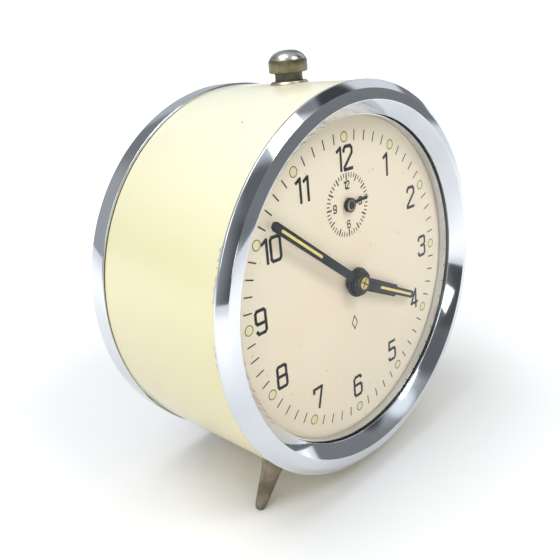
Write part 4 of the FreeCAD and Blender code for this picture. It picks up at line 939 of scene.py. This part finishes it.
# The room's shade from straight down (0) to straight up (1).
ROOM = [(0.0, 1.05), (0.510, 1.05), (0.525, 0.26), (0.80, 0.30), (0.92, 0.75), (1.0, 0.95)]
BACKDROP = 1.12  # how bright the wall behind the clock looks
SKY_PATCHES = [
    # azimuth, elevation, full and outer half-angles, shade
    (3, 32, 13, 18, 0.95),
    (-27, 47, 7, 13, 0.08),
    (-125, 14, 14, 26, 0.10),
    (-104, 40, 8, 16, 0.17),
    (-50, 60, 6, 12, 0.32),
    (-62, 49, 3, 12, 1.20),
    (60, 17, 14, 22, 0.60),
    (118, 10, 14, 30, 0.50),
    (-68, 7, 7, 15, 0.26),
    (180, 20, 30, 60, 0.60),
]


def world():
    """A grey room with pale and dark patches for the chrome to show."""
    scene_world = bpy.data.worlds.new("studio")
    bpy.context.scene.world = scene_world
    scene_world.use_nodes = True
    tree = scene_world.node_tree
    way = tree.nodes.new("ShaderNodeTexCoord").outputs["Generated"]
    split = tree.nodes.new("ShaderNodeSeparateXYZ")
    half = tree.nodes.new("ShaderNodeMapRange")
    half.inputs["From Min"].default_value = -1.0
    ramp = tree.nodes.new("ShaderNodeValToRGB")
    elements = ramp.color_ramp.elements
    while len(elements) < len(ROOM):
        elements.new(0.5)
    for element, (place, shade) in zip(elements, ROOM):
        element.position = place
        element.color = cool(shade)
    tree.links.new(way, split.inputs["Vector"])
    tree.links.new(split.outputs["Z"], half.inputs["Value"])
    tree.links.new(half.outputs["Result"], ramp.inputs["Fac"])
    colour = ramp.outputs["Color"]
    for azimuth, elevation, full, outer, shade in SKY_PATCHES:
        colour = sky_patch(tree, way, colour, sky_way(azimuth, elevation), full, outer, cool(shade))
    path = tree.nodes.new("ShaderNodeLightPath")
    seen = tree.nodes.new("ShaderNodeMix")
    seen.data_type = "RGBA"
    tree.links.new(path.outputs["Is Camera Ray"], seen.inputs["Factor"])
    behind, ahead = [socket for socket in seen.inputs if socket.type == "RGBA"]
    tree.links.new(colour, behind)
    ahead.default_value = cool(BACKDROP)
    backdrop = next(socket for socket in seen.outputs if socket.type == "RGBA")
    tree.links.new(backdrop, tree.nodes["Background"].inputs["Color"])


def cool(shade):
    """A slightly blue grey."""
    return shade * 0.92, shade * 0.965, shade * 1.01, 1.0


def sky_patch(tree, way, under, middle, full, outer, colour):
    """Lays a soft-edged round patch over the colours that the world has so far."""
    dot = tree.nodes.new("ShaderNodeVectorMath")
    dot.operation = "DOT_PRODUCT"
    dot.inputs[1].default_value = middle
    fade = tree.nodes.new("ShaderNodeMapRange")
    fade.interpolation_type = "SMOOTHSTEP"
    fade.inputs["From Min"].default_value = math.cos(math.radians(outer))
    fade.inputs["From Max"].default_value = math.cos(math.radians(full))
    mix = tree.nodes.new("ShaderNodeMix")
    mix.data_type = "RGBA"
    tree.links.new(way, dot.inputs[0])
    tree.links.new(dot.outputs["Value"], fade.inputs["Value"])
    tree.links.new(fade.outputs["Result"], mix.inputs["Factor"])
    first, second = [socket for socket in mix.inputs if socket.type == "RGBA"]
    tree.links.new(under, first)
    second.default_value = colour
    return next(socket for socket in mix.outputs if socket.type == "RGBA")


case_pieces()
dial_disc()
dial_print()
hands()
button()
foot_piece("foot_left", -1, "left_foot")
foot_piece("foot_right", 1, "right_foot")
dress_nodes()
camera()
stage()
lights()
world()
bpy.context.scene.view_settings.view_transform = "Standard"
